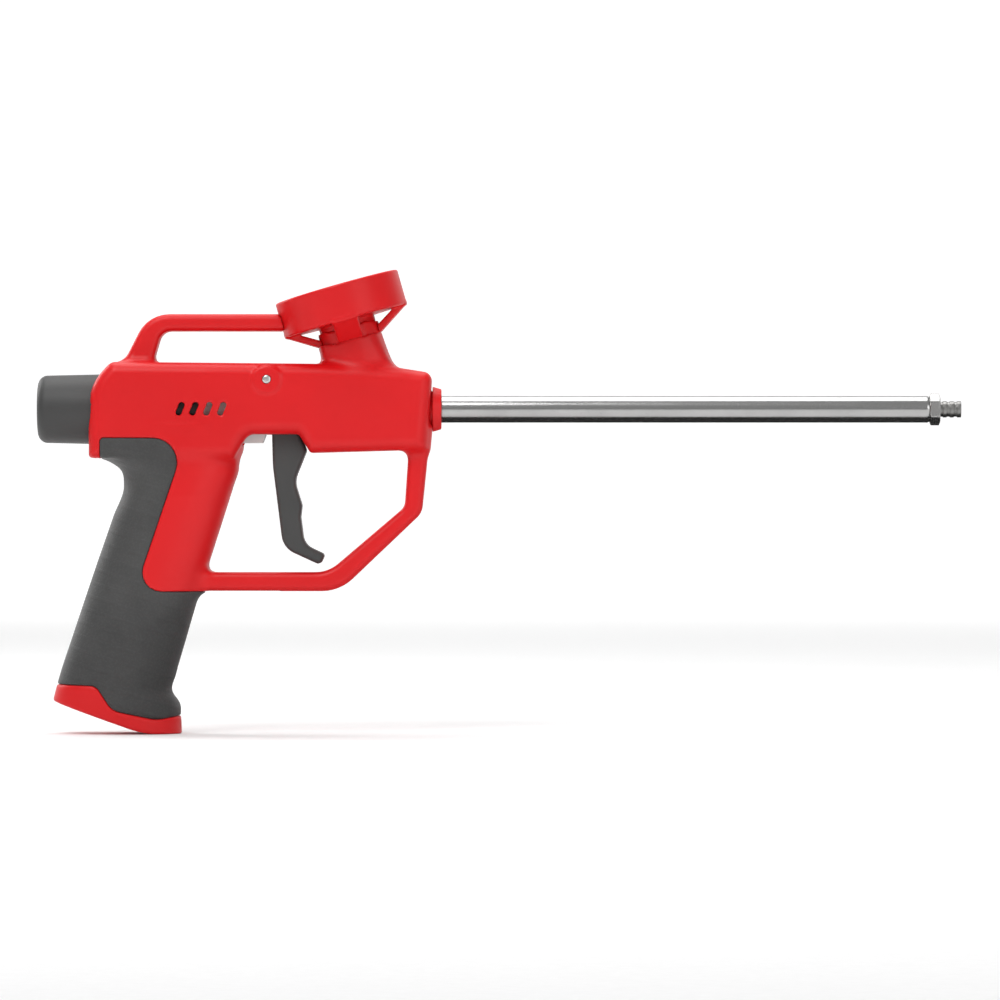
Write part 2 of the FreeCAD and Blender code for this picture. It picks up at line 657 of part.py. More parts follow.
def window(index):
    """One slanted slot of the flow indicator, through the right half's wall."""
    centre = f"-(window_first - {index} * window_pitch)"
    half, shift = "window_width / 2", "window_lean / 2"
    top, round_ = "window_height / 2", "window_width / 2 - 0.05"
    return slab([
        (f"{centre} - {half} - {shift}", f"-{top}", round_),
        (f"{centre} + {half} - {shift}", f"-{top}", round_),
        (f"{centre} + {half} + {shift}", top, round_),
        (f"{centre} - {half} + {shift}", top, round_),
    ], "housing_width * 2")


def make_housing():
    """The two halves: the same solid, parted, with windows and pilot holes or screw seats."""
    zone = sleeve_zone()
    below = slab([("-160", "-core_foot"), ("-60", "-core_foot"), ("-60", "-140"), ("-160", "-140")],
                 "grip_width + 20")
    sleeve_room = cut(zone, grip_loft("sleeve_thick"))
    whole = cut(cut(joined(housing_outside(), grip_loft("0")), sleeve_room), below)
    pin_hole = cross_pin("-pivot_back", "pivot_rise", "pin_dia / 2 + fit_gap", "-40", "80")
    solid = cut(cut(whole, housing_hollows()), pin_hole)
    pilots = [cross_pin(across, up, "screw_dia / 2 - 0.2", "-(screw_bite + 0.3)", "screw_bite + 0.3")
              for _, across, up in SCREWS]
    seats = [cross_pin(across, up, "screw_head_dia / 2 + 0.15", "screw_seat", "30")
             for _, across, up in SCREWS]
    shanks = [cross_pin(across, up, "screw_dia / 2 + 0.1", "-1", "screw_seat + 2")
              for _, across, up in SCREWS]
    windows = [window(index) for index in range(int(number("window_count")))]
    finish("right_housing", cut(shared(solid, side_block(-1)), joined(*pilots, *windows)))
    finish("left_housing", cut(shared(solid, side_block(1)), joined(*seats, *shanks)))
    return zone


def make_grip(zone):
    """Soft sleeve over the grip's core, and the butt cap that closes it."""
    sleeve = cut(shared(grip_loft("0"), zone), grip_loft("sleeve_thick"))
    knob_room = lathe([("-(rim_back + 10)", "0"), ("-(rim_back + 10)", "knob_dia / 2 + knob_gap"),
                       ("-thread_front", "knob_dia / 2 + knob_gap"), ("-thread_front", "0")])
    finish("grip_sleeve", cut(sleeve, joined(cap_zone("play", [("-90", "-140"), ("-152", "-140")]),
                                             knob_room)))
    rim = shared(grip_loft("0"), cap_zone("0", [
        ("-90", "-(cap_bottom + 0.3)"), ("-110", "-cap_bottom", "30"),
        ("-144.4", "-(cap_line + 6)", "2")]))
    plug = shared(grip_loft("(sleeve_thick + fit_gap)"), slab([
        ("-160", "-(core_foot + play)"), ("-60", "-(core_foot + play)"),
        ("-60", "-(cap_line + cap_step + 4)"),
        ("-118", "-(cap_line + cap_step + 4)"), ("-130", "-(cap_line + 2)"), ("-160", "-(cap_line + 2)"),
    ], "grip_width + 20"))
    tongue = shared(grip_loft("(sleeve_thick + wall + 2 * play)", first=2), slab([
        ("-160", "-(core_foot - plug_rise)"), ("-60", "-(core_foot - plug_rise)"),
        ("-60", "-(core_foot + 3)"),
        ("-160", "-(core_foot + 3)")], "grip_width + 20"))
    finish("butt_cap", joined(rim, plug, tongue))


# ---------------------------------------------------------------------------------------------------
# Barrel line: collar, barrel, nozzle, needle, packing
# ---------------------------------------------------------------------------------------------------
def make_collar():
    """Ring that holds the two halves together at the nose and guides the barrel."""
    turned_piece("nose_collar", [
        ("-(collar_length - fit_gap)", "nose_spigot_dia / 2 + fit_gap"),
        ("-(collar_length - fit_gap)", "collar_dia / 2 + collar_flare"),
        ("-0.4", "collar_dia / 2 + 0.13"),
        ("0", "collar_dia / 2 - 0.3"),
        ("0", "barrel_dia / 2 + fit_gap"),
        ("-collar_web", "barrel_dia / 2 + fit_gap"),
        ("-collar_web", "nose_spigot_dia / 2 + fit_gap"),
    ])


def make_barrel():
    """Barrel tube, with an O-ring where it sits in the valve block."""
    seat = "-(block_front + socket_depth) + play"
    turned_piece("barrel_tube", [
        (seat, "barrel_dia / 2 - barrel_wall"), (seat, "barrel_dia / 2"),
        ("barrel_free - 0.3", "barrel_dia / 2"),
        ("barrel_free", "barrel_dia / 2 - 0.3"), ("barrel_free", "barrel_dia / 2 - barrel_wall")])
    o_ring("barrel_o_ring", "-(block_front + socket_depth / 2)", "barrel_dia / 2 + fit_gap",
           "ring_section")


def o_ring(label, along, inner_radius, section):
    """An O-ring round the barrel's axis."""
    torus = document.addObject("Part::Torus", "o_ring")
    torus.Placement = FreeCAD.Placement(FreeCAD.Vector(), FreeCAD.Rotation(FreeCAD.Vector(0, 1, 0), 90))
    bind(torus, Radius1=f"{inner_radius} + {section} / 2", Radius2=f"{section} / 2")
    torus.Label = label
    bind(torus, Placement__Base__x=f"-{REACH} + ({along})")
    pieces.append(torus)
    return torus


def make_nozzle():
    """Hexagon adapter in the barrel's end and the barbed tip that screws into it."""
    body = new_body()
    shank = "barrel_dia / 2 - barrel_wall - fit_gap"
    sketch = body_sketch(body, hexagon("hex_flats"), role="YZ_Plane", along="barrel_free")
    hexagonal = body.newObject("PartDesign::Pad", "hexagon")
    hexagonal.Profile = sketch
    bind(hexagonal, Length="hex_length")
    turned(body, [("barrel_free - shank_length", "0"), ("barrel_free - shank_length", shank),
                  ("barrel_free + 0.5", shank), ("barrel_free + 0.5", "0")])
    groove = "barrel_free - shank_length / 2"
    turned(body, [(f"{groove} - 0.7", f"{shank} - 0.9"), (f"{groove} - 0.7", "barrel_dia"),
                  (f"{groove} + 0.7", "barrel_dia"), (f"{groove} + 0.7", f"{shank} - 0.9")], cut=True)
    front = "barrel_free + hex_length"
    turned(body, [(f"{front} - 0.45", "hex_flats / sqrt(3) + 0.1"), (f"{front}", "hex_flats / 2 - 0.1"),
                  (f"{front} + 1", "hex_flats / 2 - 0.1"),
                  (f"{front} + 1", "hex_flats / sqrt(3) + 0.1")], cut=True)
    turned(body, [("barrel_free + 0.45", "hex_flats / sqrt(3) + 0.1"),
                  ("barrel_free", "hex_flats / 2 - 0.1"),
                  ("barrel_free - 1", "hex_flats / 2 - 0.1"),
                  ("barrel_free - 1", "hex_flats / sqrt(3) + 0.1")],
           cut=True)
    turned(body, [("barrel_free - shank_length - 1", "0"),
                  ("barrel_free - shank_length - 1", "tip_shank_dia / 2 + fit_gap"),
                  (f"{front} + 1", "tip_shank_dia / 2 + fit_gap"), (f"{front} + 1", "0")], cut=True)
    finish("nozzle_adapter", body)
    o_ring("nozzle_o_ring", groove, f"{shank} - 0.85", "0.9")

    mouth = "barrel_free + hex_length + barb_length"
    land, low = "barb_dia / 2", "barb_dia / 2 - barb_groove"
    corners = [("barrel_free - shank_length", "tip_shank_dia / 2"), (front, "tip_shank_dia / 2"),
               (front, low)]
    for index in range(3, 0, -1):
        rear = f"{mouth} - {index} * land_length - {index - 1} * groove_width"
        lead = f"{mouth} - {index - 1} * (land_length + groove_width)"
        corners += [(rear, low), (f"{rear} + 0.2", land)]
        corners += [(lead, land)]
        corners += [(f"{lead} + 0.2", low)] if index > 1 else []
    corners += [(mouth, "mouth_dia / 2"), (f"{mouth} - mouth_land", "mouth_dia / 2"),
                (f"{mouth} - mouth_land - seat_length", "tip_bore / 2"),
                ("barrel_free - shank_length", "tip_bore / 2")]
    turned_piece("nozzle_tip", corners)


def make_needle():
    """Needle rod with its cone, and the two nuts that lock it to the carriage."""
    mouth = f"{REACH} - mouth_land - seat_length"
    slope = "(tip_bore - mouth_dia) / 2 / seat_length"
    start = f"{mouth} + (tip_bore - needle_dia) / 2 / ({slope}) - play"
    point = "needle_dia / 2 - 0.95"
    tail = "-(carriage_wall + 1.5 + 2 * nut_height + 1)"
    turned_piece("needle_rod", [
        (tail, "0"), (tail, "needle_dia / 2 - 0.3"), (f"{tail} + 0.3", "needle_dia / 2"),
        (start, "needle_dia / 2"),
        (f"{start} + 0.95 / ({slope})", point), (f"{start} + 0.95 / ({slope})", "0")])
    nuts = []
    for index in range(2):
        body = new_body()
        rear = f"-(carriage_wall + 1.5 + fit_gap + {index + 1} * nut_height)"
        sketch = body_sketch(body, hexagon("nut_flats"), role="YZ_Plane", along=f"{rear}")
        nut = body.newObject("PartDesign::Pad", "nut")
        nut.Profile = sketch
        bind(nut, Length="nut_height - 0.02")
        turned(body, [(f"{rear} - 1", "0"), (f"{rear} - 1", "needle_dia / 2 + fit_gap"),
                      (f"{rear} + nut_height + 1", "needle_dia / 2 + fit_gap"),
                      (f"{rear} + nut_height + 1", "0")],
               cut=True)
        nuts.append(body)
    pair = document.addObject("Part::Compound", "nuts")
    pair.Links = nuts
    finish("needle_nuts", pair)


def make_packing():
    """Packing ring and the gland nut that squeezes it round the needle."""
    bottom = "-(block_rear - packing_depth)"
    bore = "needle_dia / 2 + fit_gap"
    outside = "packing_dia / 2 - fit_gap"
    turned_piece("packing_ring", [
        (f"{bottom} - fit_gap", bore), (f"{bottom} - fit_gap", outside),
        (f"{bottom} - packing_height", outside), (f"{bottom} - packing_height", bore)])
    body = new_body()
    sketch = body_sketch(body, hexagon("gland_flats"), role="YZ_Plane",
                         along="-(block_rear + gland_head)")
    head = body.newObject("PartDesign::Pad", "head")
    head.Profile = sketch
    bind(head, Length="gland_head - fit_gap")
    turned(body, [("-(block_rear + gland_head / 2)", "0"), ("-(block_rear + gland_head / 2)", outside),
                  (f"{bottom} - packing_height - play", outside),
                  (f"{bottom} - packing_height - play", "0")])
    turned(body, [("-(block_rear + gland_head + 1)", "0"), ("-(block_rear + gland_head + 1)", bore),
                  (f"{bottom}", bore), (f"{bottom}", "0")], cut=True)
    finish("packing_nut", body)


def make_valve_block():
    """Cast block where the can's feed meets the barrel."""
    body = new_body()
    turned(body, [("-block_rear", "0"), ("-block_rear", "block_dia / 2 - 0.6"),
                  ("-(block_rear - 0.6)", "block_dia / 2"), ("-block_front", "block_dia / 2"),
                  ("-block_front", "0")])
    turned(body, [("0", "0"), ("boss_dia / 2", "0"), ("boss_dia / 2", "boss_top"), ("0", "boss_top")],
           axis="V_Axis", along="-chamber_back", lean=True)
    socket = "-(block_front + socket_depth)"
    ring = "-(block_front + socket_depth / 2)"
    turned(body, [
        ("1", "0"),
        ("1", "barrel_dia / 2 + fit_gap"),
        (f"{ring} + ring_section * 0.6", "barrel_dia / 2 + fit_gap"),
        (f"{ring} + ring_section * 0.6", "barrel_dia / 2 + ring_section + 2 * fit_gap"),
        (f"{ring} - ring_section * 0.6", "barrel_dia / 2 + ring_section + 2 * fit_gap"),
        (f"{ring} - ring_section * 0.6", "barrel_dia / 2 + fit_gap"),
        (socket, "barrel_dia / 2 + fit_gap"),
        (socket, "chamber_dia / 2"),
        ("-(chamber_back + chamber_dia)", "chamber_dia / 2"),
        ("-(chamber_back + chamber_dia)", "needle_dia / 2 + 0.6"),
        ("-(block_rear - packing_depth)", "needle_dia / 2 + 0.6"),
        ("-(block_rear - packing_depth)", "packing_dia / 2"),
        ("-(block_rear + 1)", "packing_dia / 2"),
        ("-(block_rear + 1)", "0"),
    ], cut=True)
    turned(body, [("0", "0"), ("nipple_bore / 2 - 0.8", "0"),
                  ("nipple_bore / 2 - 0.8", "nipple_foot - play"),
                  ("nipple_thread_dia / 2 + fit_gap", "nipple_foot - play"),
                  ("nipple_thread_dia / 2 + fit_gap", "boss_top + 1"), ("0", "boss_top + 1")],
           axis="V_Axis", along="-chamber_back", lean=True, cut=True)
    finish("valve_block", body)


# ---------------------------------------------------------------------------------------------------
# Can side: ring with its arms, inlet nipple, seal, ball and spring
# ---------------------------------------------------------------------------------------------------
def make_can_ring():
    """Threaded ring for the can on a hub with four sloping arms, and a lug that the loop holds."""
    body = new_body()
    edge, foot = "can_ring_dia / 2", "neck_dia / 2 + play"
    run = f"({edge} - {foot})"
    sink = f"arm_thick * sqrt({run} * {run} + arm_drop * arm_drop) / {run}"
    inner = f"{edge} - ({sink}) * {run} / arm_drop"
    turned(body, [(edge, "ring_base + 0.4"), (edge, "ring_base"), (foot, "ring_base - arm_drop"),
                  (foot, f"ring_base - arm_drop + {sink}"), (inner, "ring_base"),
                  (inner, "ring_base + 0.4")], axis="V_Axis")
    for across, up in ((1, 1), (-1, 1), (-1, -1), (1, -1)):
        sketch = body_sketch(body, [
            (f"{across} * arm_width / 2", f"{up} * arm_width / 2"),
            (f"{across} * {FAR}", f"{up} * arm_width / 2"),
            (f"{across} * {FAR}", f"{up} * {FAR}"), (f"{across} * arm_width / 2", f"{up} * {FAR}"),
        ], role="XY_Plane")
        gap = body.newObject("PartDesign::Pocket", "gap")
        gap.Profile = sketch
        gap.Type = "ThroughAll"
        gap.Midplane = True
    bore = "nipple_dia / 2 + fit_gap"
    wall = "can_ring_dia / 2 - can_ring_wall"
    turned(body, [(bore, "ring_base - hub_height + fit_gap"),
                  ("hub_dia / 2", "ring_base - hub_height + fit_gap"),
                  ("hub_dia / 2", "ring_base"), (edge, "ring_base"),
                  (edge, "ring_base + can_ring_height - 0.3"),
                  (f"{edge} - 0.3", "ring_base + can_ring_height"),
                  (f"{wall} + 0.8", "ring_base + can_ring_height"),
                  (wall, "ring_base + can_ring_height - 0.8"),
                  (wall, "ring_base + can_ring_height - thread_length"),
                  (f"{wall} + thread_relief", "ring_base + can_ring_height - thread_length - 0.5"),
                  (f"{wall} + thread_relief", "ring_base + floor"), (bore, "ring_base + floor")],
                  axis="V_Axis")
    # the lug points straight back along the loop's bar, so its sketch leans against the can's tilt
    sketch = body.newObject("Sketcher::SketchObject", "lug")
    plane = next(feature for feature in body.Origin.OriginFeatures if feature.Role == "XZ_Plane")
    sketch.AttachmentSupport = [(plane, "")]
    sketch.MapMode = "FlatFace"
    sketch.AttachmentOffset = FreeCAD.Placement(
        FreeCAD.Vector(), FreeCAD.Rotation(FreeCAD.Vector(0, 0, 1), -number("can_tilt")))
    sketch.setExpression("AttachmentOffset.Rotation.Angle", bound("-can_tilt"))
    top = "loop_top - (loop_bar - lug_height) / 2"
    root = f"{LUG_BACK} + chamber_back + lug_length + 1.6"
    outline(sketch, [(f"{LUG_BACK} + chamber_back", f"{top} - lug_height"), (root, f"{top} - lug_height"),
                     (root, top), (f"{LUG_BACK} + chamber_back", top)])
    lug = body.newObject("PartDesign::Pad", "lug_pad")
    lug.Profile = sketch
    lug.Midplane = True
    bind(lug, Length="lug_width")
    finish("can_ring", body, from_can=True)
    return body


def make_inlet():
    """Nipple that clamps the ring to the valve block, with the can's seal and a ball check valve."""
    top = "ring_base + floor + flange_thick + spigot_height"
    seat = "ring_base + floor + fit_gap"
    turned_piece("inlet_nipple", [
        ("nipple_bore / 2", "nipple_foot"), ("nipple_thread_dia / 2", "nipple_foot"),
        ("nipple_thread_dia / 2", "boss_top + fit_gap"), ("nipple_dia / 2", "boss_top + fit_gap"),
        ("nipple_dia / 2", seat), ("flange_dia / 2", seat), ("flange_dia / 2", f"{seat} + flange_thick"),
        ("spigot_dia / 2", f"{seat} + flange_thick"), ("spigot_dia / 2", f"{top} - 0.6"),
        ("spigot_dia / 2 - 0.6", top), ("lip_bore / 2", top), ("lip_bore / 2", f"{top} - lip_height"),
        ("nipple_bore / 2", f"{top} - lip_height"),
    ], axis="V_Axis", from_can=True)
    turned_piece("can_seal", [
        ("spigot_dia / 2 + fit_gap", f"{seat} + flange_thick + fit_gap"),
        ("flange_dia / 2 - 0.2", f"{seat} + flange_thick + fit_gap"),
        ("flange_dia / 2 - 0.2", f"{seat} + flange_thick + seal_height - 0.5"),
        ("flange_dia / 2 - 0.9", f"{seat} + flange_thick + seal_height"),
        ("spigot_dia / 2 + fit_gap", f"{seat} + flange_thick + seal_height"),
    ], axis="V_Axis", from_can=True)
    ball = document.addObject("Part::Sphere", "ball")
    ball.Label = "inlet_ball"
    drop = "sqrt(ball_dia * ball_dia - lip_bore * lip_bore) / 2 + play"
    height = f"({top} - lip_height - ({drop}))"
    bind(ball, Radius="ball_dia / 2",
         Placement__Base__x=f"-{REACH} - chamber_back - {height} * sin(lean)",
         Placement__Base__z=f"{height} * cos(lean)")
    pieces.append(ball)
    coil("inlet_ball_spring", "nipple_foot - play", f"{height} - ball_dia / 2 - play", "ball_spring_dia",
         "ball_wire", "ball_turns", from_can=True)


def coil(label, start, end, outside, wire, turns, from_can=False):
    """A compression spring between two heights of its axis: a wire swept along a helix."""
    low = f"(({start}) + {wire} / 2 + fit_gap)"
    height = f"(({end}) - ({start}) - {wire} - 2 * fit_gap)"
    radius = f"({outside} - {wire}) / 2"
    helix = document.addObject("Part::Helix", "path")
    bind(helix, Radius=radius, Height=height, Pitch=f"{height} / {turns}", Placement__Base__z=low)
    section = document.addObject("Part::Circle", "wire")
    section.Placement = FreeCAD.Placement(
        FreeCAD.Vector(), FreeCAD.Rotation(FreeCAD.Vector(1, 0, 0), 90))
    bind(section, Radius=f"{wire} / 2", Placement__Base__x=radius, Placement__Base__z=low)
    document.recompute()
    sweep = document.addObject("Part::Sweep", "coil")
    sweep.Sections = [section]
    sweep.Spine = (helix, ["Edge1"])
    sweep.Solid = True
    sweep.Frenet = True
    if not from_can:
        sweep.Placement = FreeCAD.Placement(
            FreeCAD.Vector(), FreeCAD.Rotation(FreeCAD.Vector(0, 1, 0), 90))
    return finish(label, sweep, from_can)


# ---------------------------------------------------------------------------------------------------
# Trigger, carriage and return spring
# ---------------------------------------------------------------------------------------------------
def make_trigger():
    """Channel-backed lever on a pin above the needle, forked round it, with the pin."""
    body = new_body()
    back, rise = "-pivot_back", "pivot_rise"
    pad = thick(body, [
        (f"{back} + 1.6", "-6"),
        (f"{back} + 2.0", "-21", "40"),
        (f"{back} + 5.8", "-51.4", "8"),
        (f"{back} + 19.5", "-(guard_inside - 2.7)", "1.2"),
        (f"{back} + 21.4", "-53.8", "1.2"),
        (f"{back} + 13.6", "-50.1", "6"),
        (f"{back} + 12.3", "-40"),
        (f"{back} + 12.8", "-35.6", "2"),
        (f"{back} + 10.0", "-26.6", "8"),
        (f"{back} + 14.5", "-15.4", "1.6"),
        (f"{back} + 12.6", "-10", "3"),
        (f"{back} + 9.6", "-6.5", "3"),
        (f"{back} + 8.6", f"{rise} - 4"),
        (f"{back} + 5.2", f"{rise} + 4.3", "3.5"),
        (f"{back} - 4.4", f"{rise} + 4.3", "4"),
        (f"{back} - 4.4", f"{rise} - 4.6", "2"),
        (f"{back} + 1.9", f"{rise} - 4.9"),
        (f"{back} - 0.45", "0", "3"),
    ], "trigger_width")
    document.recompute()
    side = number("trigger_width / 2")
    edges = [f"Edge{index}" for index, edge in enumerate(pad.Shape.Edges, 1)
             if all(abs(abs(vertex.Y) - side) < 1e-6 for vertex in edge.Vertexes)
             and edge.CenterOfMass.z < -7 and edge.CenterOfMass.x > number("-pivot_back + 9")
             and abs(edge.Vertexes[0].Y - edge.Vertexes[-1].Y) < 1e-6]
    rounding = body.newObject("PartDesign::Fillet", "rounding")
    rounding.Base = (pad, edges)
    bind(rounding, Radius="trigger_round")
    pocket(body, [
        (f"{back} - 14", "-7.5"), (f"{back} + 7.4", "-7.5"), (f"{back} + 7.0", "-26"),
        (f"{back} + 9.2", "-37"),
        (f"{back} + 9.6", "-46"), (f"{back} + 10.4", "-49"), (f"{back} + 7", "-62"),
        (f"{back} - 14", "-62"),
    ], "trigger_channel")
    pocket(body, [("-rod_slot / 2", "-rod_slot_height / 2"), ("rod_slot / 2", "-rod_slot_height / 2"),
                  ("rod_slot / 2", "rod_slot_height / 2"), ("-rod_slot / 2", "rod_slot_height / 2")],
           f"2 * {FAR}", role="YZ_Plane")
    hole = body.newObject("Sketcher::SketchObject", "pivot")
    plane = next(feature for feature in body.Origin.OriginFeatures if feature.Role == "XZ_Plane")
    hole.AttachmentSupport = [(plane, "")]
    hole.MapMode = "FlatFace"
    hole.addGeometry(Part.Circle(FreeCAD.Vector(number(back), number(rise), 0), FreeCAD.Vector(0, 0, 1),
                                 number("pin_dia / 2 + fit_gap")))
    hole.addConstraint([Sketcher.Constraint("Radius", 0, number("pin_dia / 2 + fit_gap")),
                        Sketcher.Constraint("DistanceX", 0, 3, number(back)),
                        Sketcher.Constraint("DistanceY", 0, 3, number(rise))])
    for index, text in enumerate(("pin_dia / 2 + fit_gap", back, rise)):
        hole.setExpression(f"Constraints[{index}]", bound(text))
    through = body.newObject("PartDesign::Pocket", "pivot_bore")
    through.Profile = hole
    through.Midplane = True
    bind(through, Length="trigger_width * 2")
    finish("trigger", body)
    pin = cross_pin(f"-{REACH} - pivot_back", "pivot_rise", "pin_dia / 2",
                    "-(housing_width / 2 + pin_boss_rise - 0.1)",
                    "housing_width + 2 * pin_boss_rise - 0.2")
    pin.Label = "trigger_pin"
    pieces.append(pin)


def make_carriage():
    """Carriage that the trigger pushes back: a tube round the return spring, a block and a lip."""
    body = new_body()
    radius, bore = "carriage_dia / 2", "carriage_bore / 2"
    turned(body, [
        ("-carriage_tail", bore), ("-carriage_tail", radius), ("-(carriage_wall - 0.5)", radius),
        ("-(carriage_wall - 0.5)", "needle_dia / 2 + fit_gap"),
        ("-(carriage_wall + 1.5)", "needle_dia / 2 + fit_gap"),
        ("-(carriage_wall + 1.5)", bore)])
    thick(body, [
        ("-carriage_wall", "5.4"), ("-carriage_face", "5.4"), ("-carriage_face", "-(carriage_lip - 3.6)"),
        ("-(carriage_face + 1.3)", "-carriage_lip", "0.6"),
        ("-(carriage_wall - 2.2)", "-carriage_lip", "0.6"),
        ("-carriage_wall", "-(carriage_lip - 3)")], "carriage_block")
    turned(body, [("-(carriage_wall + 4)", "0"), ("-(carriage_wall + 4)", "needle_dia / 2 + fit_gap"),
                  ("-(carriage_face - 2)", "needle_dia / 2 + fit_gap"), ("-(carriage_face - 2)", "0")],
                  cut=True)
    finish("needle_carriage", body)


# ---------------------------------------------------------------------------------------------------
# Flow regulator
# ---------------------------------------------------------------------------------------------------
def make_regulator():
    """Knob, indicator sleeve, stop screw, thread ring, O-ring, thrust washer and return spring."""
    radius, spigot = "knob_dia / 2", "sleeve_dia / 2 - 1.4"
    groove = "knob_dia / 2 - o_ring_section + 0.1"
    turned_piece("regulator_knob", [
        ("-knob_back", "stop_dia / 2 + fit_gap"),
        ("-knob_back", f"{radius} - 0.6", "knob_round"),
        ("-(rim_back - 6)", radius),
        ("-(o_ring_back + o_ring_section * 0.6)", f"{radius}"),
        ("-(o_ring_back + o_ring_section * 0.6)", groove),
        ("-(o_ring_back - o_ring_section * 0.6)", groove),
        ("-(o_ring_back - o_ring_section * 0.6)", radius),
        ("-knob_front", radius),
        ("-knob_front", f"{spigot} + fit_gap"),
        ("-(knob_back - knob_floor)", f"{spigot} + fit_gap"),
        ("-(knob_back - knob_floor)", "stop_dia / 2 + fit_gap"),
    ])
    o_ring("regulator_o_ring", "-o_ring_back", f"{groove} + 0.03", "o_ring_section")

    body = new_body()
    front = "-(window_first - window_pitch * window_count + window_pitch / 2)"
    wide, inside = "sleeve_dia / 2", "sleeve_dia / 2 - sleeve_wall"
    turned(body, [
        ("-(knob_back - knob_floor - play)", f"{spigot} - 2.4"),
        ("-(knob_back - knob_floor - play)", spigot),
        ("-(knob_front - play)", spigot), ("-(knob_front - play)", wide), (front, wide), (front, inside),
        ("-(carriage_tail + 4.5)", inside), ("-(carriage_tail + 4.5)", f"{spigot} - 2.4")])
    for step in range(4):
        dark = 3 - step
        turn = 72 * (2 - dark)
        edge = f"-(window_first + window_pitch / 2 - {dark} * window_pitch)"
        reach = "sleeve_dia"
        spokes = [("0", "0")]
        for spread in (-36, 0, 36):
            angle = math.radians(180 + turn + spread)
            spokes.append((f"{reach} * {math.cos(angle):.6f}", f"{reach} * {math.sin(angle):.6f}"))
        sketch = body_sketch(body, spokes, role="YZ_Plane", along=edge)
        notch = body.newObject("PartDesign::Pocket", "notch")
        notch.Profile = sketch
        notch.Reversed = True
        bind(notch, Length="window_pitch * (window_count + 1)")
    finish("indicator_sleeve", body)

    turned_piece("stop_screw", [
        ("-(knob_back - 1)", "0"), ("-(knob_back - 1)", "stop_dia / 2"), ("-stop_seat", "stop_dia / 2"),
        ("-stop_seat", "stop_seat_dia / 2"), ("-(stop_seat - stop_seat_thick)", "stop_seat_dia / 2"),
        ("-(stop_seat - stop_seat_thick)", "stop_dia / 2"), ("-(stop_front + 0.8)", "stop_dia / 2"),
        ("-stop_front", "stop_dia / 2 - 0.8"), ("-stop_front", "0")])
    turned_piece("regulator_thread_ring", [
        ("-thread_back", "sleeve_dia / 2 + fit_gap"), ("-thread_back", "sleeve_dia / 2 + thread_wall"),
        ("-thread_front", "sleeve_dia / 2 + thread_wall"), ("-thread_front", "sleeve_dia / 2 + fit_gap")])
    seat = "-(stop_seat - stop_seat_thick - fit_gap)"
    turned_piece("thrust_washer", [
        (seat, "stop_dia / 2 + play"), (seat, "stop_seat_dia / 2 - 0.3"),
        (f"{seat} + washer_thick", "stop_seat_dia / 2 - 0.3"),
        (f"{seat} + washer_thick", "stop_dia / 2 + play")])
    coil("return_spring", f"{seat} + washer_thick", "-(carriage_wall + 1.5)", "spring_dia", "spring_wire",
         "spring_turns")


# ---------------------------------------------------------------------------------------------------
# Screws
# ---------------------------------------------------------------------------------------------------
def make_screws():
    """Pan-head screws with a star-shaped recess, one group."""
    body = new_body()
    seat, head = "screw_seat + fit_gap", "screw_head_dia / 2"
    thread = "screw_dia / 2 - 0.25"
    turned(body, [
        ("0", f"{seat} + screw_head"), (f"{head} - 0.9", f"{seat} + screw_head"),
        (head, f"{seat} + screw_head - 0.8"),
        (head, seat), ("screw_dia / 2", seat), ("screw_dia / 2", f"{seat} - 1.2"),
        (thread, f"{seat} - 1.6"),
        (thread, "-(screw_bite - 0.8)"), (f"{thread} - 0.6", "-screw_bite"), ("0", "-screw_bite")],
        role="XY_Plane", axis="V_Axis")
    sketch = body_sketch(body, [(f"0.95 * {math.cos(math.radians(60 * i)):.5f}",
                                 f"0.95 * {math.sin(math.radians(60 * i)):.5f}")
                                for i in range(6)], along="0")
    recess = body.newObject("PartDesign::Pocket", "recess")
    sketch.setExpression("AttachmentOffset.Base.z", bound(f"-({seat} + screw_head)"))
    recess.Profile = sketch
    recess.Length = 1.2
    document.recompute()
    group = document.addObject("Part::Feature", "screws")
    group.Shape = Part.makeCompound([
        body.Shape.translated(FreeCAD.Vector(number(across), 0, number(up))) for _, across, up in SCREWS])
    return finish("housing_screws", group)


def build():
    """Makes every sub-part."""
    zone = make_housing()
    make_grip(zone)
    make_collar()
    make_barrel()
    make_nozzle()
    make_needle()
    make_packing()
    make_valve_block()
    make_can_ring()
    make_inlet()
    make_trigger()
    make_carriage()
    make_regulator()
    make_screws()


def export():
    """Checks every object of the document, then writes each sub-part to parts/."""
    document.recompute()
    failed = [thing.Label for thing in document.Objects if {"Invalid", "Error"} & set(thing.State)]
    assert not failed, f"not built: {failed}"
    for piece in pieces:
        solid = piece.Shape
        assert not solid.isNull() and solid.isValid() and solid.Solids, f"bad: {piece.Label}"
    os.makedirs("parts", exist_ok=True)
    for piece in pieces:
        piece.Shape.exportStep(f"parts/{piece.Label}.step")
        print(f"{piece.Label:24s} {len(piece.Shape.Solids)} solid(s) {piece.Shape.Volume / 1000:8.2f} cm3")


build()
export()
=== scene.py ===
"""The look of a foam applicator gun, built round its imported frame.

Every shape is drawn in millimetres from the front face of the nose collar, on the barrel's axis: X forward,
Y to the holder's left, Z up. What stands on the can's axis is drawn on that axis, from where it crosses the
barrel's. Moulded parts are level sets of a distance field, made of side outlines, widths and edge radii;
turned parts are profiles carried round their axis. BREAK is the ease of a plain machined edge.
"""

import json
import logging
import math
from dataclasses import dataclass
from enum import Enum
from typing import Any, Callable, Optional, Sequence

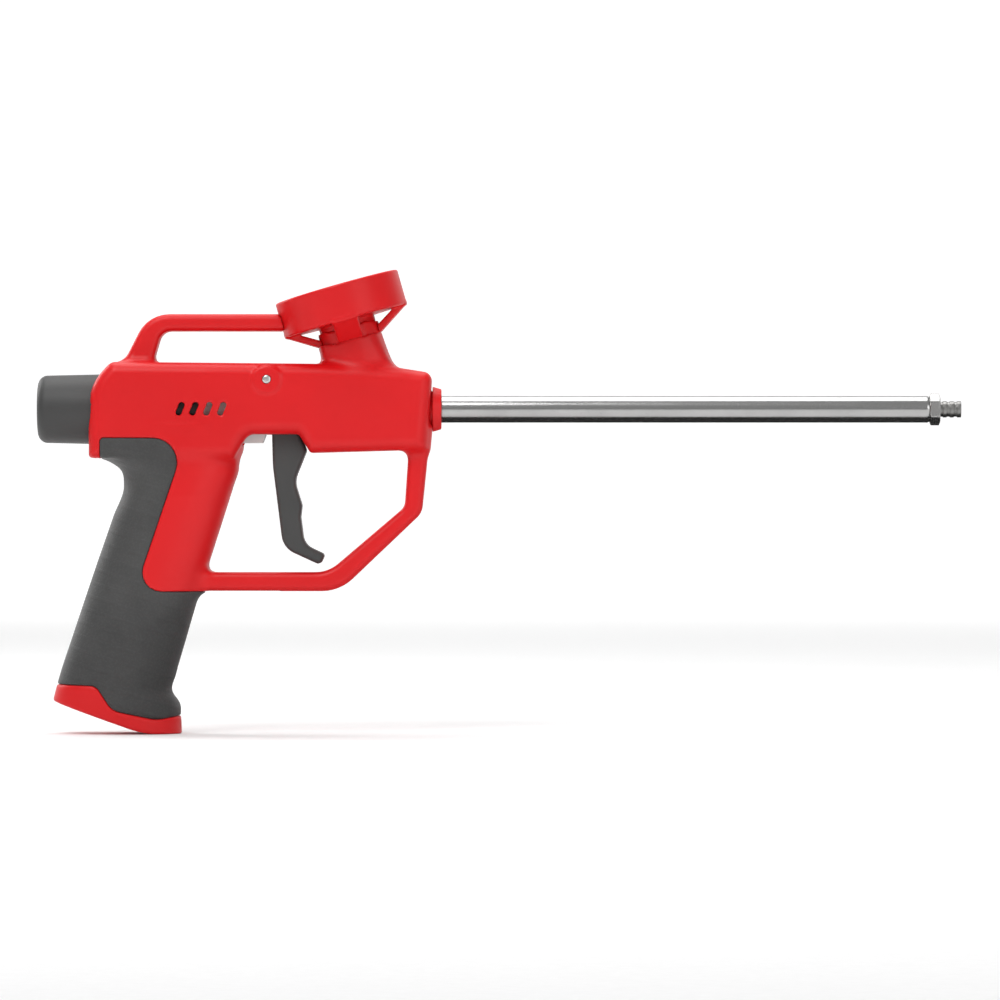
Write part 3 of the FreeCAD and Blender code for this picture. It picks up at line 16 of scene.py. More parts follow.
import bmesh
import bpy
import numpy as np
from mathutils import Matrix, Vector


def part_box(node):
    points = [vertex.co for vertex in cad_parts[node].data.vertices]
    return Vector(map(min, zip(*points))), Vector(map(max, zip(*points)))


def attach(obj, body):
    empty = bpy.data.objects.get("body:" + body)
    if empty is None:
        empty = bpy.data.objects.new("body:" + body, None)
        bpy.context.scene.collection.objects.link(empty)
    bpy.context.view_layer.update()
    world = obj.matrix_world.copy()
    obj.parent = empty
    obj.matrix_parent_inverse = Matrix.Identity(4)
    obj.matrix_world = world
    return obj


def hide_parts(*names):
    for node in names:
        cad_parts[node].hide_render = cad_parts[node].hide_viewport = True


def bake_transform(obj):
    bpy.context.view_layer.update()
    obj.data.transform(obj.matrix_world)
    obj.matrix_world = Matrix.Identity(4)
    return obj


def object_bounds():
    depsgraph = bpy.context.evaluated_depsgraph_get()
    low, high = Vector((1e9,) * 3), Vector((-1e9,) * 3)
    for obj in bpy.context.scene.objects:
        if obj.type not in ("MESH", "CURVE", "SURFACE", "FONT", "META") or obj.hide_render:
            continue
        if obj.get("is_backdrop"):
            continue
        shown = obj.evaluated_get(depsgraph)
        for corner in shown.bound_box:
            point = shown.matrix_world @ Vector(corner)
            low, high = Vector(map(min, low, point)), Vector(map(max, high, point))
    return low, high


Array = np.ndarray
Field = Callable[[Array, Array, Array], Array]

log = logging.getLogger("applicator_gun")

MM = 0.001
CREASE = math.radians(38.0)
BREAK = 0.3

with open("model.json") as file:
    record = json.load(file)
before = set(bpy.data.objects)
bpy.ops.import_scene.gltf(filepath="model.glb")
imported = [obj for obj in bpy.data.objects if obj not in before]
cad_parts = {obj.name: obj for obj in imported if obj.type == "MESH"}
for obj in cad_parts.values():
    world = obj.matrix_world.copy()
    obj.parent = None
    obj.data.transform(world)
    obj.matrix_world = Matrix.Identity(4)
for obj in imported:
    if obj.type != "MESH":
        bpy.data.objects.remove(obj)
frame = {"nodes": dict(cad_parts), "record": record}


# ---- Drawing aids: outlines, distances and blends ----
def rounded_corners(corners: Sequence[tuple[float, ...]], steps: int = 7) -> Array:
    """A closed outline with its corners rounded.

    At a corner of radius r the two sides are left r / tan(half the corner's angle) from it, and the arc's
    centre lies r / sin(half the angle) along the bisector.

    Args:
        corners: (a, b) or (a, b, radius) for each corner, in order.
        steps: points along each arc.

    Returns:
        Points of the outline, shape (n, 2).
    """
    spots = np.array([corner[:2] for corner in corners], float)
    radii = [corner[2] if len(corner) > 2 else 0.0 for corner in corners]
    runs = []
    for index, radius in enumerate(radii):
        spot = spots[index]
        if radius <= 0:
            runs.append(spot[None])
            continue
        before = spots[index - 1] - spot
        after = spots[(index + 1) % len(spots)] - spot
        before, after = before / np.hypot(*before), after / np.hypot(*after)
        half = math.acos(float(np.clip(before @ after, -1, 1))) / 2
        middle = spot + (before + after) / np.hypot(*(before + after)) * radius / math.sin(half)
        first = spot + before * radius / math.tan(half) - middle
        last = spot + after * radius / math.tan(half) - middle
        start = math.atan2(first[1], first[0])
        sweep = (math.atan2(last[1], last[0]) - start + math.pi) % math.tau - math.pi
        turn = start + sweep * np.linspace(0, 1, steps)
        runs.append(middle + radius * np.stack([np.cos(turn), np.sin(turn)], -1))
    return np.vstack(runs)


def outline_distance(outline: Array, a: Array, b: Array) -> Array:
    """Signed distance to a closed outline, negative inside.

    The distance to each side is that to the nearest point of it, found by clamping the foot of the
    perpendicular to the side; the sign turns with each side that a ray to the right crosses.

    Args:
        outline: points, shape (n, 2).
        a: first coordinates.
        b: second coordinates, of a shape that broadcasts with a.

    Returns:
        Distances in the broadcast shape.
    """
    a, b = np.broadcast_arrays(a, b)
    nearest = np.full(a.shape, np.inf)
    inside = np.zeros(a.shape, bool)
    for (a0, b0), (a1, b1) in zip(outline, np.roll(outline, -1, 0)):
        along_a, along_b = a1 - a0, b1 - b0
        length = along_a * along_a + along_b * along_b
        if length < 1e-12:
            continue
        da, db = a - a0, b - b0
        share = np.clip((da * along_a + db * along_b) / length, 0, 1)
        nearest = np.minimum(nearest, (da - share * along_a) ** 2 + (db - share * along_b) ** 2)
        if b0 != b1:
            inside ^= ((b0 <= b) != (b1 <= b)) & (da < along_a * db / along_b)
    return np.where(inside, -1.0, 1.0) * np.sqrt(nearest)


def fused(one: Array, other: Array, fillet: float) -> Array:
    """Union of two fields, its inner corner filled: the lesser, less h^2 k / 4 where they lie within k."""
    near = np.maximum(fillet - np.abs(one - other), 0) / fillet
    return np.minimum(one, other) - near * near * fillet / 4


def shared(one: Array, other: Array, edge: float) -> Array:
    """What two fields share, its outer edge eased, by the same rule turned inside out."""
    return -fused(-one, -other, edge)


def less(one: Array, other: Array, edge: float) -> Array:
    """The first field without the second, its edge eased."""
    return -fused(-one, other, edge)


def slab(side: Array, across: Array, half: Any, edge: float) -> Array:
    """A plate of a side view: its outline's distance and its half width, with a round of radius edge where
    the two meet. Both distances are moved in by the radius, joined by their length outside the corner, and
    the result is moved out again."""
    flat = side + edge
    deep = np.abs(across) - half + edge
    return np.hypot(np.maximum(flat, 0), np.maximum(deep, 0)) + np.minimum(np.maximum(flat, deep), 0) - edge


def eased(stations: Sequence[float], values: Sequence[float], at: Array) -> Array:
    """A smooth curve through values at stations: a cubic on each span, with the slopes of its neighbours."""
    s, v = np.array(stations, float), np.array(values, float)
    slope = np.gradient(v, s)
    span = np.clip(np.searchsorted(s, at) - 1, 0, len(s) - 2)
    width = s[span + 1] - s[span]
    t = np.clip((at - s[span]) / width, 0, 1)
    return ((2 * t**3 - 3 * t**2 + 1) * v[span] + (t**3 - 2 * t**2 + t) * width * slope[span]
            + (3 * t**2 - 2 * t**3) * v[span + 1] + (t**3 - t**2) * width * slope[span + 1])


# ---- Meshes ----
EDGES = np.array([(a, b) for a in range(8) for b in range(8) if a < b and bin(a ^ b).count("1") == 1])
CORNERS = np.array([[(c >> 2) & 1, (c >> 1) & 1, c & 1] for c in range(8)])


def level_set(shape: Field, low: Sequence[float], high: Sequence[float], step: float) -> tuple[Array, Array]:
    """The surface on which a distance field is zero, as one net of quads.

    Each cell of a grid that the surface crosses gets one point, at the mean of the crossings on its edges,
    and each grid edge that it crosses gets the quad of the four cells round it. The points are then moved
    onto the surface along the field's gradient, by distance / slope, three times.

    Args:
        shape: distance as a function of x, y and z, negative inside.
        low: lowest corner of the grid.
        high: highest corner of the grid.
        step: size of a cell.

    Returns:
        Points (n, 3) and quads (m, 4), facing outwards.
    """
    axes = [np.arange(a - 0.51 * step, b + 1.5 * step, step) for a, b in zip(low, high)]
    x, y, z = axes[0][:, None, None], axes[1][None, :, None], axes[2][None, None, :]
    value = np.broadcast_to(shape(x, y, z), [len(axis) for axis in axes]).astype(np.float32)
    inside = value < 0
    cells = np.array(value.shape) - 1
    count = sum(inside[a:a + cells[0], b:b + cells[1], c:c + cells[2]].astype(np.int8)
                for a, b, c in CORNERS)
    crossed = (count > 0) & (count < 8)
    where = np.argwhere(crossed)
    number = np.full(cells, -1, np.int64)
    number[crossed] = np.arange(len(where))
    corner = np.stack([value[tuple((where + offset).T)] for offset in CORNERS], 1)
    ends = corner[:, EDGES]
    cuts = (ends[..., 0] < 0) != (ends[..., 1] < 0)
    share = np.where(cuts, ends[..., 0] / np.where(cuts, ends[..., 0] - ends[..., 1], 1), 0)
    start, way = CORNERS[EDGES[:, 0]], CORNERS[EDGES[:, 1]] - CORNERS[EDGES[:, 0]]
    spots = (start[None] + share[..., None] * way[None]) * cuts[..., None]
    points = (where + spots.sum(1) / cuts.sum(1)[:, None]) * step + np.array([axis[0] for axis in axes])
    quads = []
    for axis in range(3):
        one, two = [k for k in range(3) if k != axis]
        ahead = np.moveaxis(inside, axis, 0)
        here = np.argwhere(np.moveaxis(ahead[1:] != ahead[:-1], 0, axis))
        here = here[(here[:, one] > 0) & (here[:, two] > 0) & (here[:, one] < cells[one])
                    & (here[:, two] < cells[two])]
        back_one, back_two = np.eye(3, dtype=int)[one], np.eye(3, dtype=int)[two]
        ring = [number[tuple((here - shift).T)] for shift in
                (back_one * 0, back_one, back_one + back_two, back_two)]
        quad = np.stack(ring, 1)
        outward = inside[tuple(here.T)] == (axis != 1)
        quads.append(np.where(outward[:, None], quad, quad[:, ::-1]))
    nudge = 0.04
    for _ in range(3):
        px, py, pz = points.T
        value_here = shape(px, py, pz)
        slope = np.stack([shape(px + nudge, py, pz), shape(px, py + nudge, pz),
                          shape(px, py, pz + nudge)], 1)
        slope = (slope - value_here[:, None]) / nudge
        move = slope * (value_here / np.maximum((slope**2).sum(1), 0.25))[:, None]
        points = points - np.clip(move, -step, step)
    return points, np.vstack(quads)


def grid_faces(points: Array, wrap_u: bool, wrap_v: bool) -> Array:
    """Quads of a surface on a grid of two parameters.

    Args:
        points: shape (nu, nv, 3).
        wrap_u: whether the last row meets the first.
        wrap_v: whether the last column meets the first.

    Returns:
        Quads, shape (m, 4).
    """
    index = np.arange(points.shape[0] * points.shape[1]).reshape(points.shape[:2])
    index = np.vstack([index, index[:1]]) if wrap_u else index
    index = np.hstack([index, index[:, :1]]) if wrap_v else index
    return np.stack([index[:-1, :-1], index[1:, :-1], index[1:, 1:], index[:-1, 1:]], -1).reshape(-1, 4)


def turned(profile: Array, around: int, radius: Optional[Callable[[Array, Array], Array]] = None) -> Array:
    """A profile carried round the X axis: (x, r) goes to (x, r cos a, r sin a).

    Args:
        profile: (x, r) points, shape (n, 2).
        around: points round the axis.
        radius: optional radius as a function of the profile's radius and the angle, for flats and lobes.

    Returns:
        Points, shape (n, around, 3).
    """
    angle = np.linspace(0, math.tau, around, endpoint=False)[None, :]
    r = profile[:, 1:2] + 0 * angle
    if radius is not None:
        r = radius(profile, angle)
    return np.stack([profile[:, :1] + 0 * angle, r * np.cos(angle), r * np.sin(angle)], -1)


def coil(start: float, end: float, radius: float, wire: float, turns: float, share: tuple[float, float],
         around: int = 12, per_turn: int = 40) -> Array:
    """Part of a compression spring along its axis: a round wire along a helix whose end turns lie close.

    Args:
        start: the spring's rear end.
        end: its front end.
        radius: from the axis to the wire's middle.
        wire: wire diameter.
        turns: turns of the whole helix.
        share: where the part begins and ends, as shares of the helix.
        around: points round the wire.
        per_turn: points along one turn.

    Returns:
        Points, shape (n, around, 3), along the axis first. The first and last rings shrink to a point, which
        closes the wire.
    """
    t = np.linspace(*share, int(turns * per_turn * (share[1] - share[0])))
    closed = 1.0 / turns
    flat = wire * 1.02 / (end - start)
    rise = np.interp(t, [0, closed, 1 - closed, 1], [0, flat, 1 - flat, 1])
    angle = t * turns * math.tau
    spine = np.stack([start + wire / 2 + rise * (end - start - wire), radius * np.cos(angle),
                      radius * np.sin(angle)], -1)
    ahead = np.gradient(spine, axis=0)
    ahead /= np.linalg.norm(ahead, axis=1)[:, None]
    out = np.stack([0 * t, np.cos(angle), np.sin(angle)], -1)
    side = np.cross(ahead, out)
    ring = np.linspace(0, math.tau, around, endpoint=False)[None, :, None]
    thick = np.full(len(t), wire / 2)
    thick[[0, -1]] = 0
    return spine[:, None] + thick[:, None, None] * (np.cos(ring) * out[:, None]
                                                    + np.sin(ring) * side[:, None])


class Place:
    """Carries points from a drawing to the row frame, in metres."""

    def __init__(self) -> None:
        """Reads the nose collar's front face and the can's axis from the frame."""
        self.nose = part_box("nose_collar")[1].x
        mounts = {mount["name"]: mount for mount in frame["record"]["mounts"]}
        lean = mounts["can_thread"]["axis"]
        spot = mounts["can_thread"]["pos_m"]
        self.lean_x, self.lean_z = lean[0], lean[2]
        self.can_x = (spot[0] - spot[2] * lean[0] / lean[2] - self.nose) / MM

    def on_barrel(self, points: Array) -> Array:
        """From the barrel's drawing."""
        return points * MM + np.array([self.nose, 0, 0])

    def on_can(self, points: Array) -> Array:
        """From the can's drawing, where Z runs along the can's axis."""
        x, y, z = points[..., 0], points[..., 1], points[..., 2]
        upright = np.stack([self.can_x + x * self.lean_z + z * self.lean_x, y,
                            z * self.lean_z - x * self.lean_x], -1)
        return self.on_barrel(upright)

    def can_coordinates(self, x: Array, z: Array) -> tuple[Array, Array]:
        """Where a point of the barrel's drawing lies in the can's: forward of its axis, and along it."""
        return ((x - self.can_x) * self.lean_z - z * self.lean_x,
                (x - self.can_x) * self.lean_x + z * self.lean_z)


def piece(name: str, points: Array, faces: Array, finish: "Finish", body: str | None,
          replaced: str, crease: float = CREASE) -> bpy.types.Object:
    """Makes a mesh object of points in metres, closed and facing outwards, dressed and riding on a body.

    Args:
        name: the object's name.
        points: shape (..., 3).
        faces: quads, shape (m, 4).
        finish: what it is made of.
        body: the CAD body that it rides on, or None for a piece left unattached.
        replaced: the CAD node that it stands for.
        crease: angle past which an edge is sharp.

    Returns:
        The object.
    """
    mesh = bpy.data.meshes.new(name)
    mesh.from_pydata(points.reshape(-1, 3).tolist(), [], faces.tolist())
    edit = bmesh.new()
    edit.from_mesh(mesh)
    bmesh.ops.remove_doubles(edit, verts=edit.verts, dist=2e-6)
    bmesh.ops.dissolve_degenerate(edit, edges=edit.edges, dist=1e-7)
    bmesh.ops.recalc_face_normals(edit, faces=edit.faces)
    if edit.calc_volume(signed=True) < 0:
        bmesh.ops.reverse_faces(edit, faces=edit.faces)
    edit.to_mesh(mesh)
    edit.free()
    mesh.shade_smooth()
    mesh.set_sharp_from_angle(angle=crease)
    thing = bpy.data.objects.new(name, mesh)
    bpy.context.scene.collection.objects.link(thing)
    mesh.materials.append(finish.material())
    if body:
        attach(thing, body)
    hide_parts(replaced)
    log.info("%-24s %7d faces on %s", name, len(mesh.polygons), body or "two bodies")
    return thing


# ---- Shaders ----
class Signal:
    """A number's socket in a node graph that takes part in arithmetic."""

    def __init__(self, graph: "Graph", socket: Any) -> None:
        """Keeps the socket and the graph it belongs to."""
        self.graph, self.socket = graph, socket

    def _with(self, operation: str, first: Any, second: Any) -> "Signal":
        """A Math node on two values."""
        return self.graph.add("ShaderNodeMath", {"operation": operation}, {0: first, 1: second})

    def __add__(self, other: Any) -> "Signal":
        """Sum."""
        return self._with("ADD", self, other)

    def __sub__(self, other: Any) -> "Signal":
        """Difference."""
        return self._with("SUBTRACT", self, other)

    def __rsub__(self, other: Any) -> "Signal":
        """Difference from a number."""
        return self._with("SUBTRACT", other, self)

    def __mul__(self, other: Any) -> "Signal":
        """Product."""
        return self._with("MULTIPLY", self, other)

    __radd__, __rmul__ = __add__, __mul__


class Graph:
    """The node graph of one material, with its surface shader."""

    def __init__(self, name: str) -> None:
        """Starts a material with a Principled shader."""
        self.result = bpy.data.materials.new(name)
        self.result.use_nodes = True
        self.tree = self.result.node_tree
        self.shader = self.tree.nodes["Principled BSDF"]

    def add(self, kind: str, settings: dict[str, Any], inputs: dict[Any, Any], output: Any = 0) -> Signal:
        """Adds a node.

        Args:
            kind: the node's type.
            settings: its properties, set first.
            inputs: values or signals by socket name or number.
            output: which output to give back.

        Returns:
            That output as a signal.
        """
        node = self.tree.nodes.new(kind)
        for key, value in settings.items():
            setattr(node, key, value)
        for key, value in inputs.items():
            self.feed(node.inputs[key], value)
        return Signal(self, node.outputs[output])

    def feed(self, socket: Any, value: Any) -> None:
        """Links a signal to a socket, or sets its value."""
        if isinstance(value, Signal):
            self.tree.links.new(value.socket, socket)
        else:
            socket.default_value = value

    def set(self, **inputs: Any) -> None:
        """Feeds the shader's sockets; an underscore stands for a space."""
        for key, value in inputs.items():
            self.feed(self.shader.inputs[key.replace("_", " ")], value)

    def place(self) -> Signal:
        """Object coordinates, in metres in the row frame."""
        return self.add("ShaderNodeTexCoord", {}, {}, "Object")

    def noise(self, per_metre: float, detail: float, where: Optional[Signal] = None) -> Signal:
        """Noise of so many cells a metre, from 0 to 1."""
        return self.add("ShaderNodeTexNoise", {},
                        {"Vector": where or self.place(), "Scale": per_metre, "Detail": detail,
                         "Roughness": 0.55})

    def cells(self, per_metre: float) -> Signal:
        """Distance to the nearest of scattered points, so many a metre."""
        return self.add("ShaderNodeTexVoronoi", {"feature": "F1"},
                        {"Vector": self.place(), "Scale": per_metre})

    def between(self, mask: Signal, low: Sequence[float], high: Sequence[float]) -> Signal:
        """A colour between two, as the mask goes from 0 to 1."""
        return self.add("ShaderNodeMix", {"data_type": "RGBA"},
                        {0: mask, 6: (*low, 1.0), 7: (*high, 1.0)}, 2)

    def spread(self, value: Signal, low: float, high: float, top: float = 1.0) -> Signal:
        """A value moved from a range to that from 0 to top, and kept in it."""
        return self.add("ShaderNodeMapRange", {"clamp": True}, {0: value, 1: low, 2: high, 3: 0.0, 4: top})

    def relief(self, height: Signal, depth: float) -> None:
        """Feeds a height field to the shader's normal; depth is in metres."""
        self.set(Normal=self.add("ShaderNodeBump", {}, {"Height": height, "Distance": depth,
                                                        "Strength": 1.0}))


@dataclass(frozen=True)
class Finish:
    """A finish: its name and its two limiting colours, as linear light."""

    name: str
    dark: tuple[float, float, float]
    light: tuple[float, float, float]

    def material(self) -> bpy.types.Material:
        """The material, made once."""
        return bpy.data.materials.get(self.name) or self.build(Graph(self.name))

    def build(self, graph: Graph) -> bpy.types.Material:
        """Fills the graph; each kind of finish has its own."""
        raise NotImplementedError


@dataclass(frozen=True)
class Moulded(Finish):
    """Moulded plastic: a fine spark-eroded grain, faint flow marks and patches of handling.

    Patterns are in cells a metre, the depth of their relief in metres.
    """

    rough: float = 0.42
    grain: float = 2600.0
    depth: float = 0.00002
    flow: float = 18.0
    handling: float = 42.0
    ior: float = 1.38

    def build(self, graph: Graph) -> bpy.types.Material:
        """Colour drifts by the flow marks, roughness by grain and handling, relief is the grain."""
        drift = graph.spread(graph.noise(self.flow, 2.0), 0.3, 0.7)
        grain = graph.noise(self.grain, 2.0)
        pits = graph.spread(graph.cells(self.grain * 0.55), 0.0, 0.55)
        handled = graph.spread(graph.noise(self.handling, 5.0), 0.45, 0.7)
        graph.set(Base_Color=graph.between(drift * 0.8 + grain * 0.2, self.dark, self.light))
        graph.set(Roughness=self.rough + (grain - 0.5) * 0.10 - handled * 0.05, IOR=self.ior)
        graph.relief(grain * 0.55 + pits * 0.45, self.depth)
        return graph.result


@dataclass(frozen=True)
class SoftTouch(Finish):
    """Soft overmould: a pebbled skin with close-set shallow bands across the grip, and a dry sheen.

    Patterns are in cells or waves a metre, the depth of their relief in metres.
    """

    bands: float = 0.0
    grip_axis: tuple[float, float, float] = (0.29, 0.0, 0.957)
    pebble: float = 1150.0
    grain: float = 3200.0
    rubbing: float = 30.0
    waver: float = 60.0
    rough: float = 0.66
    depth: float = 0.00009

    def build(self, graph: Graph) -> bpy.types.Material:
        """Relief is pebbles and bands; pebble tops are rubbed a little lighter and smoother."""
        pebbles = graph.spread(graph.cells(self.pebble), 0.1, 0.6)
        grain = graph.noise(self.grain, 2.0)
        rubbed = graph.spread(graph.noise(self.rubbing, 4.0), 0.42, 0.68)
        height = pebbles * 0.75 + grain * 0.25
        if self.bands:
            down = graph.add("ShaderNodeVectorMath", {"operation": "DOT_PRODUCT"},
                             {0: graph.place(), 1: self.grip_axis}, "Value")
            wave = graph.add("ShaderNodeMath", {"operation": "SINE"},
                             {0: down * self.bands + graph.noise(self.waver, 2.0) * 0.3})
            height = height * 0.55 + graph.spread(wave, 0.55, 0.95) * 0.9
        shade = rubbed * 0.55 + (1.0 - pebbles) * 0.3 + grain * 0.15
        graph.set(Base_Color=graph.between(shade, self.dark, self.light))
        graph.set(Roughness=self.rough - rubbed * 0.10 + (grain - 0.5) * 0.12)
        graph.set(IOR=1.46, Sheen_Weight=0.12, Sheen_Roughness=0.5)
        graph.relief(height, self.depth)
        return graph.result


class Lay(Enum):
    """How far a metal's tool marks are squeezed along X, Y and Z: turning rings, drawing lines, or none."""

    ROUND = (1.0, 0.02, 0.02)
    ALONG = (0.02, 1.0, 1.0)
    NONE = (1.0, 1.0, 1.0)


@dataclass(frozen=True)
class Metal(Finish):
    """Plated, turned or cast metal."""

    rough: float = 0.22
    lay: Lay = Lay.NONE
    depth: float = 0.000004
    tool_marks: float = 5200.0
    cast_marks: float = 1500.0

    def build(self, graph: Graph) -> bpy.types.Material:
        """Tool marks are noise squeezed across the lay; patches of dulled plating change the roughness."""
        squeezed = graph.add("ShaderNodeVectorMath", {"operation": "MULTIPLY"},
                             {0: graph.place(), 1: self.lay.value})
        marks = graph.noise(self.cast_marks if self.lay is Lay.NONE else self.tool_marks, 3.0, squeezed)
        dulled = graph.spread(graph.noise(55.0, 5.0), 0.4, 0.72)
        specks = graph.spread(graph.noise(900.0, 3.0), 0.62, 0.72)
        graph.set(Metallic=1.0 - specks * 0.08)
        graph.set(Base_Color=graph.between(dulled * 0.6 + marks * 0.4, self.light, self.dark))
        graph.set(Roughness=self.rough + (marks - 0.5) * 0.12 + dulled * 0.06)
        graph.relief(marks * 0.8 + specks * 0.2, self.depth)
        return graph.result


RED_SHELL = Moulded("red_shell", (0.60, 0.0045, 0.0065), (0.70, 0.0065, 0.0095), rough=0.42)
RED_CAP = Moulded("red_cap", (0.56, 0.0045, 0.0065), (0.65, 0.006, 0.0085), rough=0.46)
CHARCOAL = Moulded("charcoal_nylon", (0.040, 0.040, 0.040), (0.062, 0.062, 0.061), rough=0.50, grain=2200.0,
                   depth=0.00003)
GRIP = SoftTouch("soft_grip", (0.034, 0.034, 0.034), (0.062, 0.062, 0.061), bands=1250.0)
RUBBER = SoftTouch("black_rubber", (0.012, 0.012, 0.012), (0.024, 0.024, 0.024))
PALE_ACETAL = Moulded("pale_acetal", (0.66, 0.66, 0.645), (0.76, 0.76, 0.745), rough=0.38,
                      depth=0.000012)
INK_ACETAL = Moulded("ink_acetal", (0.020, 0.022, 0.022), (0.034, 0.036, 0.036), rough=0.42)
NICKEL = Metal("nickel_plate", (0.36, 0.36, 0.357), (0.47, 0.47, 0.465), rough=0.2, lay=Lay.ALONG)
TURNED = Metal("turned_steel", (0.34, 0.34, 0.335), (0.48, 0.475, 0.465), rough=0.24, lay=Lay.ROUND)
DULL_STEEL = Metal("dull_nozzle", (0.20, 0.20, 0.195), (0.30, 0.295, 0.285), rough=0.34, lay=Lay.ROUND)
ZINC = Metal("zinc_plate", (0.50, 0.50, 0.49), (0.68, 0.68, 0.665), rough=0.30)
BRASS = Metal("turned_brass", (0.48, 0.32, 0.115), (0.66, 0.46, 0.18), rough=0.25, lay=Lay.ROUND)
CASTING = Metal("zinc_casting", (0.36, 0.36, 0.365), (0.50, 0.50, 0.50), rough=0.48, depth=0.00003)
SEALANT_RING = Moulded("packing_white", (0.60, 0.59, 0.55), (0.72, 0.71, 0.67), rough=0.35)


# ---- Housing, grip and cap: one outer form, parted along its seams ----
@dataclass
class Shell:
    """Two moulded halves, the soft sleeve let into them, and the butt cap."""

    place: Place
    half_width: float = 15.6
    nose_half_width: float = 13.2
    taper_from: float = -12.0
    taper_length: float = 75.0
    bar_half_width: float = 7.0
    web_half_width: float = 9.0
    edge: float = 4.6
    bar_edge: float = 2.3
    neck_radius: float = 11.5
    neck_top: float = 31.0
    spigot_radius: float = 6.6
    spigot_rear: float = -8.0
    spigot_front: float = -1.1
    pivot: tuple = (-64.4, 10.9)
    pin_bore: float = 1.55
    boss_radius: float = 5.0
    boss_rise: float = 0.35
    grip_top: float = -8.0
    grip_half_width: float = 13.6
    grip_swell: float = 2.4
    grip_roundness: float = 2.25
    core_foot: float = -100.0
    sleeve_foot: float = -116.4
    sleeve_thick: float = 2.2
    seam: float = 0.08
    knob_bore: float = 13.25
    knob_room_rear: float = -140.0
    bores: tuple = ((-112.5, -106.3, 14.15), (-106.6, -75.0, 12.65), (-75.5, -49.3, 3.2),
                    (-49.6, -43.95, 6.9), (-44.0, -7.95, 8.55), (-8.2, 2.0, 5.1))
    trigger_room: float = 8.1
    can_bore: float = 8.1
    ring_room: float = 23.7
    ring_foot: float = 33.8
    arm_foot: float = 26.3
    arm_level: float = 0.85
    arm_slope: float = 0.536
    window_first: float = -96.3
    window_pitch: float = 5.13
    window_count: int = 4
    window_half_height: float = 1.3
    window_lean: float = 0.42
    window_radius: float = 1.18
    window_floor: float = -8.0
    head_radius: float = 2.9
    head_seat: float = 4.8
    screw_radius: float = 1.6
    step: float = 0.6
    drops: tuple = (8.0, 18.4, 22.6, 28.0, 40.0, 55.0, 70.0, 85.0, 98.0, 104.5, 109.0, 113.5, 122.0)
    rears: tuple = (124.6, 123.4, 118.9, 117.8, 121.8, 127.0, 132.1, 137.1, 141.4, 143.2, 144.3, 145.2, 147.2)
    fronts: tuple = (70.4, 75.0, 75.2, 76.9, 80.7, 85.5, 90.3, 94.7, 98.4, 99.8, 97.0, 96.6, 96.2)
    screws: tuple = ((-110.8, 23.9), (-67.6, 32.05), (-50.0, 12.3), (-42.0, -11.8), (-13.3, -11.6),
                     (-74.7, -63.9), (-96.0, -39.0), (-113.9, -86.0))

    def __post_init__(self) -> None:
        """Draws the side outlines."""
        cap_top = [(-152, -101.5), (-127.4, -102.3, 4), (-121.4, -111.4, 7), (-105.2, -114.9, 12),
                   (-90, -112.2)]
        self.outlines = {name: rounded_corners(corners) for name, corners in {
            "block": [(-130.2, -18.3, 1.5), (-130.2, 9.0, 20), (-121.9, 17.4, 4), (-44.0, 16.7),
                      (-13.9, 15.0, 30), (-3.35, 13.3, 3.2), (-5.6, -15.0, 1.2), (-48.4, -16.2, 1.0),
                      (-52.7, -9.35, 1.6), (-71.5, -9.35, 4.5), (-76.6, -18.3)],
            "loop": [(-120.4, 12), (-108.6, 35.2, 13), (-56.0, 35.2), (-56.0, 28.9), (-103.4, 28.9, 4.5),
                     (-108.4, 12)],
            "guard": [(-4.0, -7), (-7.2, -38.4, 7), (-37.7, -67.4, 16), (-101, -67.4), (-101, -60.4),
                      (-42.0, -60.4, 13), (-13.6, -36.2, 5), (-11.6, -7)],
            "web": [(-40.3, 8), (-45.6, 26), (-28.4, 32.2), (-13.7, 8)],
            "sleeve": [(-126.0, -10.6, 1.5), (-97.4, -10.8, 9), (-97.4, -21.5, 14), (-112.9, -67.4, 7),
                       (-60, -67.4), (-60, -140), (-170, -140), (-170, -18.2), (-126.0, -18.2)],
            "cap": [*cap_top, (-90, -120.3), (-110, -120.0, 30), (-144.4, -107.8, 2), (-152, -104.6)],
            "cap_room": [*cap_top, (-90, -140), (-152, -140)],
            "trigger_room": [(-79, 15.4), (-49.0, 15.4), (-49.0, -22), (-73.4, -22), (-73.4, -13.4),
                             (-79, -13.4)],
        }.items()}

    def side(self, name: str, x: Array, z: Array) -> Array:
        """Signed distance to one of the side outlines."""
        return outline_distance(self.outlines[name], x, z)

    def grip(self, x: Array, y: Array, z: Array) -> Array:
        """Distance to the grip: level sections |u|^n + |v|^n = 1 of its rear and front edges and its half
        width, measured along the ray from each section's middle."""
        rear = eased(self.drops, self.rears, -z)
        front = eased(self.drops, self.fronts, -z)
        half, middle = (rear - front) / 2, -(rear + front) / 2
        wide = self.grip_half_width + self.grip_swell * np.clip((-z - 10) / 22, 0, 1) ** 0.7
        power = self.grip_roundness
        away = np.hypot(x - middle, y) + 1e-6
        gauge = (np.abs((x - middle) / half) ** power + np.abs(y / wide) ** power) ** (1 / power) + 1e-9
        return np.maximum(away * (1 - 1 / gauge) * 0.93, z - self.grip_top)

